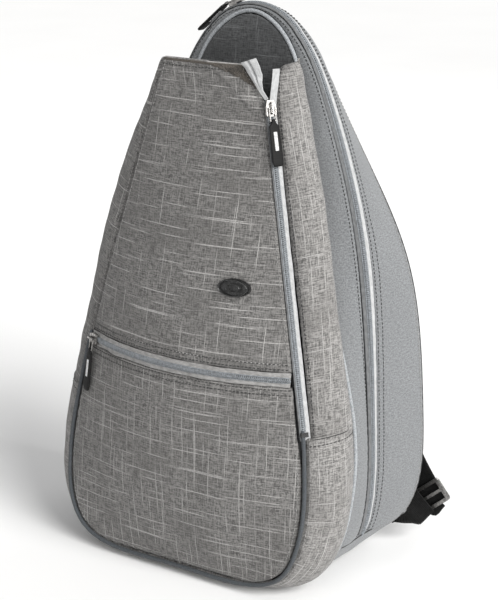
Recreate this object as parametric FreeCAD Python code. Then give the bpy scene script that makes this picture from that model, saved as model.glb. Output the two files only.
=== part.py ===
"""Racket backpack: a teardrop bag with a padded main compartment, a bulging racket
compartment with a zipped accessory pocket in front, and two shoulder straps behind.

Millimetres. +Z is up, -Y is the front, +X is the wearer's left as seen from the front.
The origin is the centre of the flat base panel's underside.
"""
import FreeCAD, Part
import math
import os

V = FreeCAD.Vector
os.makedirs("parts", exist_ok=True)

# ---------------------------------------------------------------- driving dimensions
CLOTH = 2.4            # padded cloth panel, outer cloth + foam + lining
GAP = 0.4              # free space between neighbouring sewn pieces
PIPING_R = 1.8         # cord piping radius
TAPE_T = 1.0           # zip tape thickness
TAPE_HALF = 6.0        # half the tape width that shows
COIL_HALF = 2.8        # half the width of the closed coil
COIL_H = 2.0           # height of the coil above its tape
BACK_Y = 75.0          # outer face of the back panel
MOUTH_Z = 461.0        # top edge of the racket compartment
POCKET_ZIP_Z = 201.0   # centre line of the accessory pocket's zip
WEBBING = 25.0         # webbing width
WEBBING_T = 1.6        # webbing thickness

# Leaning planes y = a + b * z that hold each layer's outline.
FRONT_PLANE = (-94.0, 0.139)    # racket compartment, front edge
BODY_PLANE = (-39.7, 0.141)     # main compartment, front panel
ZIP_PLANE = (8.5, 0.058)        # main zip
BACK_PLANE = (BACK_Y, 0.0)

# Right half of each outline, bottom centre to top centre, as (half width, height).
FRONT_OUTLINE = [(0, 8), (70, 8.5), (112, 24), (129, 68), (124.5, 146), (101.2, 265),
                 (83.2, 342), (62.8, 429), (55.3, MOUTH_Z)]
BODY_OUTLINE = [(0, 5), (76, 6), (126, 20), (145, 70), (142, 150), (103, 265),
                (80, 345), (60, 432), (38, 478), (0, 499)]
ZIP_OUTLINE = [(0, 5), (80, 6), (126, 20), (142.5, 66), (140.5, 146), (127.8, 265),
               (107.7, 352), (78.3, 430), (46.8, 482), (0, 505)]
BACK_OUTLINE = [(0, 6), (84, 7), (132, 22), (157, 66), (159, 150), (143, 268),
                (100, 358), (56, 432), (32, 468), (0, 484)]
TOP_ARC_R, TOP_ARC_Z = 59.1, 445.9   # circle that the main zip follows over the top


# ---------------------------------------------------------------- geometry helpers
class Outline:
    """A symmetric outline on a leaning plane. Station s runs 0 (bottom centre) to n
    (last point), and negative s is the left half."""

    def __init__(self, half, plane, closed=True, arch=None):
        self.half, self.plane, self.closed, self.arch = half, plane, closed, arch
        right = half[:-1] if closed else half
        left = [(-x, z) for x, z in reversed(half[1:])]
        ring = left + right
        pts = [V(x, 0, z) for x, z in ring]
        steps = [0.0]
        loop = pts + [pts[0]] if closed else pts
        for p, q in zip(loop, loop[1:]):
            steps.append(steps[-1] + math.sqrt(p.distanceToPoint(q)))
        self.curve = Part.BSplineCurve()
        self.curve.interpolate(Points=pts, Parameters=steps, PeriodicFlag=closed)
        n = len(half) - 1
        if closed:
            left_at = {-i: steps[n - i] for i in range(0, n + 1)}
            right_at = {i: steps[n + i] for i in range(1, n + 1)}
            right_at[n] = steps[2 * n]
        else:
            left_at = {-i: steps[n - i] for i in range(0, n + 1)}
            right_at = {i: steps[n + i] for i in range(1, n + 1)}
        self.at_station = {**left_at, **right_at}

    def arch_point(self, s):
        """Point of the last span, where the outline is an exact circle (radius, height)."""
        radius, height = self.arch
        n = len(self.half) - 1
        x, z = self.half[n - 1]
        angle = math.atan2(x, z - height) * (n - abs(s))
        z = height + radius * math.cos(angle)
        a, b = self.plane
        return V(math.copysign(radius * math.sin(angle), s), a + b * z, z)

    def point(self, s):
        if self.arch and abs(s) > len(self.half) - 2:
            return self.arch_point(s)
        lo = math.floor(s)
        f = s - lo
        t = self.at_station[lo]
        if f > 1e-9:
            t += f * (self.at_station[lo + 1] - t)
        p = self.curve.value(t)
        a, b = self.plane
        return V(p.x, a + b * p.z, p.z)

    def normal(self, s):
        """Outward normal in the XZ plane."""
        e = 0.02
        n = len(self.half) - 1
        lo, hi = max(s - e, -n), min(s + e, n)
        d = self.point(hi) - self.point(lo)
        out = V(d.z, 0, -d.x)
        out.normalize()
        return out

    def station_at(self, z):
        """Station of the right half at a height, above the flat bottom."""
        lo, hi = 1.0, float(len(self.half) - 1)
        for _ in range(40):
            mid = (lo + hi) / 2
            if self.point(mid).z < z:
                lo = mid
            else:
                hi = mid
        return lo


FRONT = Outline(FRONT_OUTLINE, FRONT_PLANE, closed=False)
BODY = Outline(BODY_OUTLINE, BODY_PLANE)
ZIP = Outline(ZIP_OUTLINE, ZIP_PLANE, arch=(TOP_ARC_R, TOP_ARC_Z))
BACK = Outline(BACK_OUTLINE, BACK_PLANE)


def lerp(a, b, t):
    return a + (b - a) * t


def table(rows, x):
    """Smooth reading of a short table of (x, value) rows, with no overshoot."""
    x = min(max(x, rows[0][0]), rows[-1][0])
    slope = [(q[1] - p[1]) / (q[0] - p[0]) for p, q in zip(rows, rows[1:])]
    tangent = [slope[0]]
    for a, b in zip(slope, slope[1:]):
        tangent.append(0.0 if a * b <= 0 else 2 * a * b / (a + b))
    tangent.append(slope[-1])
    for i, ((x0, v0), (x1, v1)) in enumerate(zip(rows, rows[1:])):
        if x <= x1:
            h, t = x1 - x0, (x - x0) / (x1 - x0)
            return ((2 * t ** 3 - 3 * t * t + 1) * v0 + (t ** 3 - 2 * t * t + t) * h * tangent[i]
                    + (3 * t * t - 2 * t ** 3) * v1 + (t ** 3 - t * t) * h * tangent[i + 1])


def span(lo, hi, n, power=1.0):
    """n values from lo to hi, closer together near lo where power is over 1."""
    return [lerp(lo, hi, (i / (n - 1.0)) ** power) for i in range(n)]


def surface(grid):
    s = Part.BSplineSurface()
    s.interpolate(grid)
    return s


def solid_between(outer, inner):
    """Closed solid between two point grids of the same size."""
    a, b = surface(outer), surface(inner)
    faces = [a.toShape(), b.toShape()]
    u0, u1, v0, v1 = a.bounds()
    p0, p1, q0, q1 = b.bounds()
    edges = [(a.uIso(u0), b.uIso(p0)), (a.uIso(u1), b.uIso(p1)),
             (a.vIso(v0), b.vIso(q0)), (a.vIso(v1), b.vIso(q1))]
    for e, f in edges:
        faces.append(Part.makeRuledSurface(e.toShape(), f.toShape()))
    sewn = Part.Compound(faces)
    sewn.sewShape()
    shell = sewn.Shells[0] if sewn.Shells else Part.Shell(sewn.Faces)
    made = Part.Solid(shell)
    if made.Volume < 0:
        made = Part.Solid(shell.reversed())
    return made


def grid_normals(grid):
    """Unit normals of a point grid, by central differences."""
    rows, cols = len(grid), len(grid[0])
    out = []
    for i in range(rows):
        line = []
        for j in range(cols):
            du = grid[min(i + 1, rows - 1)][j] - grid[max(i - 1, 0)][j]
            dv = grid[i][min(j + 1, cols - 1)] - grid[i][max(j - 1, 0)]
            n = du.cross(dv)
            n.normalize()
            line.append(n)
        out.append(line)
    return out


def thick(grid, depth, lift=0.0, flip=1.0):
    """Sheet solid from a grid: its outer face is lifted along the grid normal and the
    sheet goes inward by depth. flip is -1 where the grid normal points inward."""
    ns = grid_normals(grid)
    outer = [[p + n * (lift * flip) for p, n in zip(r, q)] for r, q in zip(grid, ns)]
    inner = [[p + n * ((lift - depth) * flip) for p, n in zip(r, q)]
             for r, q in zip(grid, ns)]
    return solid_between(outer, inner)


def save(name, shape):
    shape = Part.Compound(shape) if isinstance(shape, (list, tuple)) else shape
    if not shape.Solids or not all(s.isValid() and s.Volume > 0 for s in shape.Solids):
        raise ValueError(name + " has no valid solid")
    shape.exportStep("parts/%s.step" % name)


def place(shape, origin, x_dir, z_dir):
    """Moves a shape from its local frame so local X and Z point along two directions."""
    x = V(x_dir)
    x.normalize()
    y = V(z_dir).cross(x)
    y.normalize()
    z = x.cross(y)
    m = FreeCAD.Matrix(x.x, y.x, z.x, origin.x, x.y, y.y, z.y, origin.y,
                       x.z, y.z, z.z, origin.z, 0, 0, 0, 1)
    return shape.transformed(m)


def tube(points, radius):
    """Round cord through a smooth curve of points."""
    path = Part.BSplineCurve()
    path.interpolate(points)
    edge = path.toShape()
    t0 = path.tangent(path.FirstParameter)[0]
    ring = Part.Wire(Part.Circle(points[0], t0, radius).toShape())
    return Part.Wire(edge).makePipeShell([ring], True, False)


# ---------------------------------------------------------------- racket compartment
BULGE_AT_ZIP = 29.0    # how far the front panel swells at the pocket's zip
BULGE = [(8, 0.3), (50, 13), (110, 25), (POCKET_ZIP_Z, BULGE_AT_ZIP), (300, 20), (400, 8),
         (MOUTH_Z, 0.5)]
SLIDER_Z = 428.0       # where the racket zip's slider rests, near the mouth


def front_y(z):
    a, b = FRONT_PLANE
    return a + b * z


def front_point(x, z, half):
    """Point of the bulging front panel: every level is an arc through both edges."""
    rise = max(table(BULGE, z), 0.05)
    radius = (half * half + rise * rise) / (2 * rise)
    drop = math.sqrt(max(radius * radius - x * x, 0.0)) - (radius - rise)
    return V(x, front_y(z) - drop, z)


def front_half(z):
    """Half width of the front outline at a height."""
    return FRONT.point(FRONT.station_at(z)).x


def front_grid(levels, left_edge, right_edge, columns=17):
    """Grid on the bulging front, between two edges that are functions of height."""
    grid = []
    for z in levels:
        half = front_half(z)
        grid.append([front_point(x, z, half)
                     for x in span(left_edge(z), right_edge(z), columns)])
    return grid


ZIP_INSET = 5.0        # panel edge to the racket zip's centre line
CORNER_LEAN = 20.0     # how far the free top corner leans away from the zip
ZIP_SLOPE = 0.2283     # the racket zip is one straight line along the right flank


def zip_x(z):
    return FRONT_OUTLINE[-1][0] + (MOUTH_Z - z) * ZIP_SLOPE


def left_edge(z):
    """Left edge of the upper panel, just inside the outline."""
    return 2.0 - front_half(z)


def open_edge(z):
    """Right edge of the upper panel: above the slider the free corner leans inward."""
    lift = max(z - SLIDER_Z, 0.0) / (MOUTH_Z - SLIDER_Z)
    return zip_x(z) - ZIP_INSET - CORNER_LEAN * lift


def pocket_inset(z):
    """Distance in X from the outline to the lower panel's edge, clear of the piping."""
    return min(PIPING_CLEAR / FRONT.normal(FRONT.station_at(z)).x, 24.0)


def pocket_left(z):
    return pocket_inset(z) - front_half(z)


def pocket_right(z):
    """Right edge of the lower panel, clear of the racket zip where they meet."""
    beside_zip = table([(100, 0.0), (170, 6.4), (MOUTH_Z, 6.4)], z)
    return front_half(z) - max(pocket_inset(z), beside_zip)


PIPING_CLEAR = PIPING_R + 3.5 * GAP
upper_levels = span(POCKET_ZIP_Z + TAPE_HALF + 0.5, MOUTH_Z, 48)
lower_levels = span(12, POCKET_ZIP_Z - TAPE_HALF - 0.5, 25, 1.5)
upper_panel = thick(front_grid(upper_levels, left_edge, open_edge), CLOTH, flip=-1)
lower_panel = thick(front_grid(lower_levels, pocket_left, pocket_right), CLOTH, flip=-1)
save("racket_panel_upper", upper_panel)
save("pocket_panel_lower", lower_panel)


def plate(outline, plane, depth, inset, z_min=None, z_max=None, behind=0.0):
    """Flat sheet on a leaning plane, inside an outline; behind moves it to +Y."""
    a, b = plane
    n = len(outline.half) - 1
    stations = span(-n, n, 8 * n + 1) if outline.closed else span(-n, n, 6 * n + 1)
    pts = []
    for s in stations[:-1] if outline.closed else stations:
        p, out = outline.point(s), outline.normal(s)
        x, z = p.x - out.x * inset, p.z - out.z * inset
        pts.append(V(x, a + b * z + behind, z))
    curve = Part.BSplineCurve()
    if outline.closed:
        curve.interpolate(Points=pts, PeriodicFlag=True)
        wire = Part.Wire(curve.toShape())
    else:
        curve.interpolate(pts)
        wire = Part.Wire([curve.toShape(), Part.makeLine(pts[-1], pts[0])])
    body = Part.Face(wire).extrude(V(0, depth, 0))
    if z_min is not None:
        body = body.common(Part.makeBox(800, 800, z_max - z_min, V(-400, -400, z_min)))
    return body


save("pocket_back_panel",
     plate(FRONT, FRONT_PLANE, 1.6, 4.5, 12, POCKET_ZIP_Z + 10, behind=2.6))
save("main_front_panel", plate(BODY, BODY_PLANE, CLOTH, 2.6, behind=-CLOTH / 2))

SIDE_PUFF = [(8, 4), (20, 10), (68, 17), (146, 16), (225, 21), (254, 24), (306, 27),
             (342, 26), (400, 20), (MOUTH_Z, 15)]


def body_station(s):
    """Station of the body outline that lies behind a station of the front outline."""
    return s if abs(s) <= 7 else math.copysign(7 + (abs(s) - 7) * 0.53, s)


def side_grid(stations, v_lo, v_hi, columns=7):
    """Puffed strip between the front and the body outlines; v is 0 at the front."""
    grid = []
    for s in stations:
        p, q = FRONT.point(s), BODY.point(body_station(s))
        out = FRONT.normal(s) + BODY.normal(body_station(s))
        out.normalize()
        puff = table(SIDE_PUFF, p.z)
        width = (q - p).Length
        lo, hi = v_lo / width, 1 - v_hi / width
        row = []
        for v in span(lo, hi, columns):
            share = (v - lo) / (hi - lo)
            swell = math.sin(math.pi * share ** 0.85) ** 0.8 * puff
            r = p + (q - p) * v + out * swell
            row.append(V(r.x, r.y, max(r.z, 0.0)))
        grid.append(row)
    return grid


SEAM_S = 4.0           # station of the seam across each side strip, 146 mm up
right_side = side_grid(span(SEAM_S + 0.04, 8, 17), 8.0, 2.6)
left_side = side_grid(span(-8, -SEAM_S - 0.04, 17), 2.4, 2.6)
under_side = side_grid(span(-SEAM_S, SEAM_S, 49), 2.4, 2.6)
save("racket_gusset_right", thick(right_side, CLOTH, flip=-1))
save("racket_gusset_left", thick(left_side, CLOTH, flip=-1))
save("racket_gusset_lower", thick(under_side, CLOTH, flip=-1))


# ---------------------------------------------------------------- main compartment
ZIP_END_S = 2.35       # station where the main zip ends above the base, 33 mm up


ZIP_AXIS = V(0, 1, -ZIP_PLANE[1]).normalize()   # the arch is a circle round this axis


def on_arch(s):
    """0 on the flanks, rising to 1 on the arch over the top."""
    return min(max(abs(s) - 7.0, 0.0) * 1.2, 1.0)


def zip_across(s):
    """Direction across the main zip's tape, to the rear."""
    p = ZIP.point(s)
    d = (p - BODY.point(s)).normalize() + (BACK.point(s) - p).normalize()
    return lerp(d.normalize(), ZIP_AXIS, on_arch(s)).normalize()


def zip_band(side_from, side_to, stations):
    """Grid along the main zip. Side 0 is its centre line and positive is the rear."""
    grid = []
    for s in stations:
        grid.append([ZIP.point(s) + zip_across(s) * d for d in span(side_from, side_to, 3)])
    return grid


def panel_strip(start, end, out, swell):
    """Row of points from start to end that swells outward between them."""
    return [start + (end - start) * t + out * (swell * math.sin(math.pi * t))
            for t in span(0, 1, 5)]


def front_strip(stations):
    grid = []
    for s in stations:
        tuck = ZIP.normal(s) * ((TAPE_T + 2 * GAP) * on_arch(s))
        p, q = BODY.point(s), ZIP.point(s) - zip_across(s) * (TAPE_HALF + 2 * GAP) - tuck
        out = (BODY.normal(s) + ZIP.normal(s)).normalize()
        start = p + (q - p).normalize() * (PIPING_R + GAP)
        grid.append(panel_strip(start, q, out, 0.05 * (q - p).Length))
    return grid


def rear_strip(stations):
    grid = []
    for s in stations:
        p, q = ZIP.point(s) + zip_across(s) * (TAPE_HALF + GAP), BACK.point(s)
        out = (BACK.normal(s) + ZIP.normal(s)).normalize()
        end = q - (q - p).normalize() * GAP
        grid.append(panel_strip(p, end, out, 3.0))
    return grid


def corner_strip(stations):
    grid = []
    for s in stations:
        p, q = BODY.point(s), BACK.point(s)
        out = (BODY.normal(s) + BACK.normal(s)).normalize()
        start = p + (q - p).normalize() * (PIPING_R + GAP)
        row = panel_strip(start, q - (q - p).normalize() * GAP, out, 4.0)
        grid.append([V(r.x, r.y, max(r.z, 0.1)) for r in row])
    return grid


# Stations from the right zip end, over the top, to the left zip end.
OVER = span(ZIP_END_S, 9, 54) + [-s for s in reversed(span(ZIP_END_S, 9, 54)[:-1])]
BASE_S = 1.22          # station where the flat base ends and the lower corners start
CORNER = span(BASE_S, ZIP_END_S - 0.03, 12)
save("main_gusset_front", thick(front_strip(OVER), CLOTH, flip=-1))
save("main_gusset_rear", thick(rear_strip(OVER), CLOTH, flip=-1))
save("main_zip_tape", thick(zip_band(-TAPE_HALF, TAPE_HALF, OVER), TAPE_T, flip=-1))
save("main_zip_coil", thick(zip_band(-COIL_HALF, COIL_HALF, OVER), COIL_H,
                            lift=COIL_H, flip=-1))
save("base_corner_right", thick(corner_strip(CORNER), CLOTH, flip=-1))
save("base_corner_left", thick(corner_strip([-s for s in reversed(CORNER)]), CLOTH,
                               flip=-1))


def rounded_slab(x, y0, y1, z0, z1, radius):
    slab = Part.makeBox(2 * x, y1 - y0, z1 - z0, V(-x, y0, z0))
    return slab.makeFillet(radius, [e for e in slab.Edges
                                    if abs(e.Vertexes[0].Z - e.Vertexes[1].Z) > 1])


x0, x1 = BODY.point(BASE_S).x - 0.6, BACK.point(BASE_S).x - 0.6
corners = [V(-x0, -34, 0), V(x0, -34, 0), V(x1, 74, 0), V(-x1, 74, 0)]
base = Part.Face(Part.makePolygon(corners + corners[:1])).extrude(V(0, 0, CLOTH))
save("base_panel", base)
save("base_board", rounded_slab(80.0, -28.0, 66.0, CLOTH + 0.2, CLOTH + 4.2, 12.0))
save("back_panel", plate(BACK, BACK_PLANE, 4.0, 0.6, behind=0.0))
save("back_foam", plate(BACK, BACK_PLANE, 5.0, 6.0, behind=-5.3))


# ---------------------------------------------------------------- piping
def outline_tube(outline, stations, radius):
    return tube([outline.point(s) for s in stations], radius)


save("pocket_piping", outline_tube(FRONT, span(-4.5, SEAM_S, 60), PIPING_R))
save("body_piping", outline_tube(BODY, span(-8.98, 8.98, 120), PIPING_R))


# ---------------------------------------------------------------- pocket zip
pocket_half = front_half(POCKET_ZIP_Z)
POCKET_R = (pocket_half ** 2 + BULGE_AT_ZIP ** 2) / (2 * BULGE_AT_ZIP)


def pocket_zip_grid(z_lo, z_hi, lift=0.0, columns=25):
    """Band along the pocket's zip, on the circle that the panel follows there."""
    end_left = math.asin((ZIP_INSET - pocket_half) / POCKET_R)
    end_right = math.asin((zip_x(z_hi) - ZIP_INSET - 2.0) / POCKET_R)
    grid = []
    for z in span(z_lo, z_hi, 3):
        y = front_y(z) - BULGE_AT_ZIP + POCKET_R
        grid.append([V((POCKET_R + lift) * math.sin(t), y - (POCKET_R + lift) * math.cos(t), z)
                     for t in span(end_left, end_right, columns)])
    return grid


zip_lo, zip_hi = POCKET_ZIP_Z - TAPE_HALF, POCKET_ZIP_Z + TAPE_HALF
save("pocket_zip_tape", thick(pocket_zip_grid(zip_lo, zip_hi), TAPE_T, flip=-1))
save("pocket_zip_coil", thick(pocket_zip_grid(POCKET_ZIP_Z - COIL_HALF,
                                              POCKET_ZIP_Z + COIL_HALF, COIL_H + 0.06),
                              COIL_H, flip=-1))


# ---------------------------------------------------------------- racket zip
RZ_ACROSS = V(0.47, 0.883, 0)    # across the tape, from the panel to the gusset
RZ_SINK = 3.0                    # the tape lies this far inside the panel's outer face
RZ_LOW = 158.0


def racket_zip_point(z):
    return V(zip_x(z), front_y(z), z)


RZ_ALONG = (racket_zip_point(RZ_LOW) - racket_zip_point(MOUTH_Z)).normalize()
RZ_ACROSS = (RZ_ACROSS - RZ_ALONG * RZ_ACROSS.dot(RZ_ALONG)).normalize()
RZ_OUT = RZ_ALONG.cross(RZ_ACROSS).normalize()
if RZ_OUT.y > 0:
    RZ_OUT = RZ_OUT * -1


def slab_along(p, q, side_lo, side_hi, top, depth):
    """Straight bar between two points of the racket zip."""
    corners = [p + RZ_ACROSS * side_lo, p + RZ_ACROSS * side_hi,
               q + RZ_ACROSS * side_hi, q + RZ_ACROSS * side_lo]
    corners = [c + RZ_OUT * top for c in corners]
    return Part.Face(Part.makePolygon(corners + corners[:1])).extrude(RZ_OUT * -depth)


foot, split, mouth = [racket_zip_point(z) for z in (RZ_LOW, SLIDER_Z, MOUTH_Z)]
tape_top = -RZ_SINK + 0.4
save("racket_zip_tape_panel_side", slab_along(foot, split, -3.8, -0.2, tape_top, TAPE_T))
save("racket_zip_tape_gusset_side", slab_along(foot, mouth, 0.2, 6.4, tape_top, TAPE_T))
save("racket_zip_coil", slab_along(foot, split + RZ_ALONG * 4, -COIL_HALF, COIL_HALF,
                                   tape_top + COIL_H, COIL_H))
corner = front_point(open_edge(MOUTH_Z), MOUTH_Z, front_half(MOUTH_Z))
above = split - RZ_ALONG * 7.6 + RZ_OUT * tape_top
flare = [[above + RZ_ACROSS * -3.6, above + RZ_ACROSS * -0.6]]
flare.append([lerp(flare[0][0], corner + V(0.6, 0, 0), 0.5) + V(1.2, 0, 0),
              lerp(flare[0][1], corner + V(6.0, 1, 3), 0.5) + V(1.0, 0, 0)])
flare.append([corner + V(1.2, -1.0, 4), corner + V(9.5, 1.0, 9)])
save("racket_zip_free_tape", thick(flare, TAPE_T))


# ---------------------------------------------------------------- sliders
def wire(points, radius):
    """Round wire of straight pieces with ball corners."""
    made = Part.makeSphere(radius, points[0])
    for p, q in zip(points, points[1:]):
        made = made.fuse(Part.makeCylinder(radius, (q - p).Length, p, q - p))
        made = made.fuse(Part.makeSphere(radius, q))
    return made


PIN_R = 0.7            # radius of the link wire
LINK_HALF = 2.7        # half the width of the link
LINK_Z = 2.7           # height of the link wire above the coil
LINK_L = 11.0          # slider bridge to pull tab
TAB_L = 42.0
TAB_W = 8.6


def slider_body():
    """Slider in its own frame: the coil's top is z = 0 and the pull side is +X."""
    outline = [(-7, -3.2), (-1, -4.8), (6, -4.8), (7, -3.8), (7, 3.8), (6, 4.8), (-1, 4.8),
               (-7, 3.2)]
    pts = [V(x, y, 0.4) for x, y in outline]
    plate_top = Part.Face(Part.makePolygon(pts + pts[:1])).extrude(V(0, 0, 1.2))
    made = plate_top
    for side in (-1, 1):
        y = 3.4 if side > 0 else -4.6
        made = made.fuse(Part.makeBox(8.5, 1.2, 1.9, V(-2.0, y, -1.5)))
    for x in (-5.2, 3.8):
        made = made.fuse(Part.makeBox(1.4, 1.6, 3.4, V(x, -0.8, 1.6)))
    made = made.fuse(Part.makeBox(10.4, 1.6, 1.2, V(-5.2, -0.8, 3.8)))
    return made.removeSplitter()


def link_body():
    w = LINK_HALF
    pts = [V(0, -w, LINK_Z), V(0, w, LINK_Z), V(LINK_L, w, LINK_Z),
           V(LINK_L, -w, LINK_Z), V(0, -w, LINK_Z)]
    return wire(pts, PIN_R)


def tab_body():
    """Pull tab whose eye turns on the link's outer bar."""
    c = V(LINK_L, 0, LINK_Z)
    eye = Part.makeCylinder(1.7, 3.2, c + V(0, -1.6, 0), V(0, 1, 0))
    neck = Part.makeBox(5.0, 3.2, 2.0, c + V(0, -1.6, -1.0))
    grip = Part.makeBox(TAB_L - 4.5, TAB_W, 2.4, c + V(4.5, -TAB_W / 2, -1.2))
    grip = grip.makeFillet(2.5, [e for e in grip.Edges
                                 if abs(e.Vertexes[0].Z - e.Vertexes[1].Z) > 1])
    bore = Part.makeCylinder(PIN_R + 0.08, 12, c + V(0, -6, 0), V(0, 1, 0))
    return eye.fuse(neck).fuse(grip).cut(bore).removeSplitter()


def save_slider(name, centre, along, out, hang, droop=0.0):
    """Places one slider. along is the zip's direction, hang the direction the pull lies
    in, and droop turns the tab further toward the bag round its eye, in degrees."""
    save(name + "_slider", place(slider_body(), centre, along, out))
    save(name + "_pull_link", place(link_body(), centre, hang, out))
    tab = tab_body()
    tab.rotate(V(LINK_L, 0, LINK_Z), V(0, 1, 0), droop)
    save(name + "_pull_tab", place(tab, centre, hang, out))


split_top = split + RZ_OUT * (tape_top + COIL_H)
down = V(0, 0, -1) - RZ_OUT * V(0, 0, -1).dot(RZ_OUT)
save_slider("racket", split_top, RZ_ALONG, RZ_OUT, lerp(RZ_ALONG, down.normalize(), 0.7))

POCKET_SLIDER_X = -104.0
turn = math.asin(POCKET_SLIDER_X / POCKET_R)
pocket_y = front_y(POCKET_ZIP_Z) - BULGE_AT_ZIP + POCKET_R
pocket_out = V(math.sin(turn), -math.cos(turn), FRONT_PLANE[1]).normalize()
pocket_centre = V(POCKET_SLIDER_X, pocket_y - POCKET_R * math.cos(turn), POCKET_ZIP_Z)
down = V(0, 0, -1) - pocket_out * V(0, 0, -1).dot(pocket_out)
save_slider("pocket", pocket_centre + pocket_out * COIL_H,
            V(math.cos(turn), math.sin(turn), 0), pocket_out, down.normalize())

ARCH_TURN = math.radians(-20.0)      # the main slider rests just left of the top
arch_out = V(math.sin(ARCH_TURN), 0, math.cos(ARCH_TURN))
arch_out = (arch_out - ZIP_AXIS * arch_out.dot(ZIP_AXIS)).normalize()
arch_centre = V(0, ZIP_PLANE[0] + ZIP_PLANE[1] * TOP_ARC_Z, TOP_ARC_Z)
arch_along = arch_out.cross(ZIP_AXIS).normalize()
arch_along = arch_along * (-1 if arch_along.x > 0 else 1)
save_slider("main", arch_centre + arch_out * (TOP_ARC_R + COIL_H), arch_along, arch_out,
            arch_along, droop=22.0)

# ---------------------------------------------------------------- straps and loops
def ribbon(points, widths, depth, across=None, samples=None):
    """Band along a smooth curve of points. Each row lies along `across` at that point,
    or along the horizontal line square to the path."""
    path = Part.BSplineCurve()
    path.interpolate(points)
    samples = 4 * len(points) if samples is None else samples
    lo, hi = path.FirstParameter, path.LastParameter
    top, bottom = [], []
    for i in range(samples):
        f = i / (samples - 1.0)
        t = lerp(lo, hi, f)
        p, along = path.value(t), path.tangent(t)[0]
        side = V(across(f)) if callable(across) else V(across or V(1, 0, 0))
        side = (side - along * side.dot(along)).normalize()
        out = side.cross(along).normalize()
        half = table([(j / (len(widths) - 1.0), w) for j, w in enumerate(widths)], f) / 2
        row = [p + side * (half * k) for k in (-1, -0.5, 0, 0.5, 1)]
        top.append([q + out * (depth / 2) for q in row])
        bottom.append([q - out * (depth / 2) for q in row])
    return solid_between(top, bottom)


def mirrored(shape):
    return shape.mirror(V(0, 0, 0), V(1, 0, 0))


def save_pair(name, shape):
    """Saves a piece on the +X side and its mirror image on the -X side."""
    save(name + "_right", shape)
    save(name + "_left", mirrored(shape))


STRAP_T = 8.0
BUCKLE = V(155, 107, 43)
BUCKLE_U = V(0.64, 0, -0.77)     # way the webbing runs into the buckle
BUCKLE_V = V(0.77, 0, 0.64)
pad_path = [V(16, 94, 419), V(24, 105, 393), V(38, 116, 340), V(58, 123, 270),
            V(78, 121, 200), V(90, 118, 140), V(94, 117, 122)]
save_pair("strap_pad", ribbon(pad_path, [26, 38, 48, 54, 54, 48, 40], STRAP_T, samples=22))
web_path = [V(98, 116.2, 116.5), V(112, 114.5, 101), V(134, 110.5, 71),
            BUCKLE - BUCKLE_U * 12 + V(0, 2.7, 0), BUCKLE + BUCKLE_U * 9 + V(0, 2.7, 0)]


def turning(f):
    return lerp(V(0.85, 0, 0.5), BUCKLE_V, min(1.0, f * 2))


save_pair("strap_webbing", ribbon(web_path, [WEBBING, WEBBING], WEBBING_T, turning, 18))
tail_path = [V(157, 112.0, 41), V(152, 112.4, 34), V(146, 112.4, 25), V(140, 112.4, 16)]
save_pair("strap_tail", ribbon(tail_path, [WEBBING, WEBBING, WEBBING, 21], WEBBING_T,
                               V(0.83, 0, -0.55), 12))
anchor_path = [V(142.5, 90, 26), V(144, 96, 28.5), V(147, 100, 33), V(151, 103, 38)]
save_pair("anchor_webbing", ribbon(anchor_path, [WEBBING, WEBBING], WEBBING_T,
                                   V(0.83, 0, -0.55), 14))


def buckle():
    """Ladder slide: a flat frame with two windows and a middle bar."""
    made = Part.makeBox(24, 34, 2.8, V(-12, -17, -1.4))
    made = made.makeFillet(3.0, [e for e in made.Edges
                                 if abs(e.Vertexes[0].Z - e.Vertexes[1].Z) > 1])
    for x in (-8.5, 1.5):
        made = made.cut(Part.makeBox(7.0, 27, 4, V(x, -13.5, -2)))
    return place(made, BUCKLE, BUCKLE_U, V(0, -1, 0))


save_pair("strap_buckle", buckle())


def wedge(profile, x, width):
    """Closed outline of (y, z) corners, extruded across X."""
    pts = [V(x, y, z) for y, z in profile]
    return Part.Face(Part.makePolygon(pts + pts[:1])).extrude(V(width, 0, 0))


yoke = wedge([(79.2, 458), (84, 457), (98, 434), (98, 427.5), (89, 427.5), (79.2, 440)],
             -30, 60)
save("shoulder_yoke", yoke)
anchor_tab = wedge([(79.2, 14), (82.2, 16), (82.2, 38), (79.2, 40)], 130, 24)
save_pair("strap_anchor", anchor_tab)
loop_half = [V(-15, 89, 467), V(-14.6, 94, 461.5), V(-12, 98.5, 457), V(-7, 102, 453),
             V(0, 103, 452)]
loop_path = loop_half + [V(-p.x, p.y, p.z) for p in reversed(loop_half[:-1])]
save("haul_loop", ribbon(loop_path, [12, 12], 2.2, V(0, 0.75, 0.66), 28))
for name, x in (("haul_loop_seat_left", -15), ("haul_loop_seat_right", 15)):
    save(name, wedge([(79.2, 460), (82.0, 460), (82.0, 474), (79.2, 474)], x - 4, 8))

# ---------------------------------------------------------------- trims
def badge():
    """Plain oval metal badge, 30 by 16 mm, with a raised rim."""
    z = 276.0
    half = front_half(z)
    c = front_point(52, z, half)
    out = (front_point(52.5, z, half) - front_point(51.5, z, half)).cross(
        front_point(52, z + 0.5, half) - front_point(52, z - 0.5, half)).normalize()
    across = front_point(52.5, z, half) - front_point(51.5, z, half)
    oval = Part.Ellipse(V(0, 0, 0), 15.0, 8.0).toShape()
    disc = Part.Face(Part.Wire(oval)).extrude(V(0, 0, 1.6))
    hollow = Part.Face(Part.Wire(Part.Ellipse(V(0, 0, 1.2), 13.6, 6.6).toShape()))
    return place(disc.cut(hollow.extrude(V(0, 0, 1))), c + out * 0.3, across, out)


save("badge", badge())


def end_stop(centre, along, out):
    """Metal stop clamped over the end of a coil."""
    block = Part.makeBox(4.0, 7.0, 2.6, V(-2.0, -3.5, 0.0))
    return place(block, centre, along, out)


save("racket_zip_stop", end_stop(foot + RZ_OUT * tape_top + RZ_ALONG * 2.4, RZ_ALONG, RZ_OUT))
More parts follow.
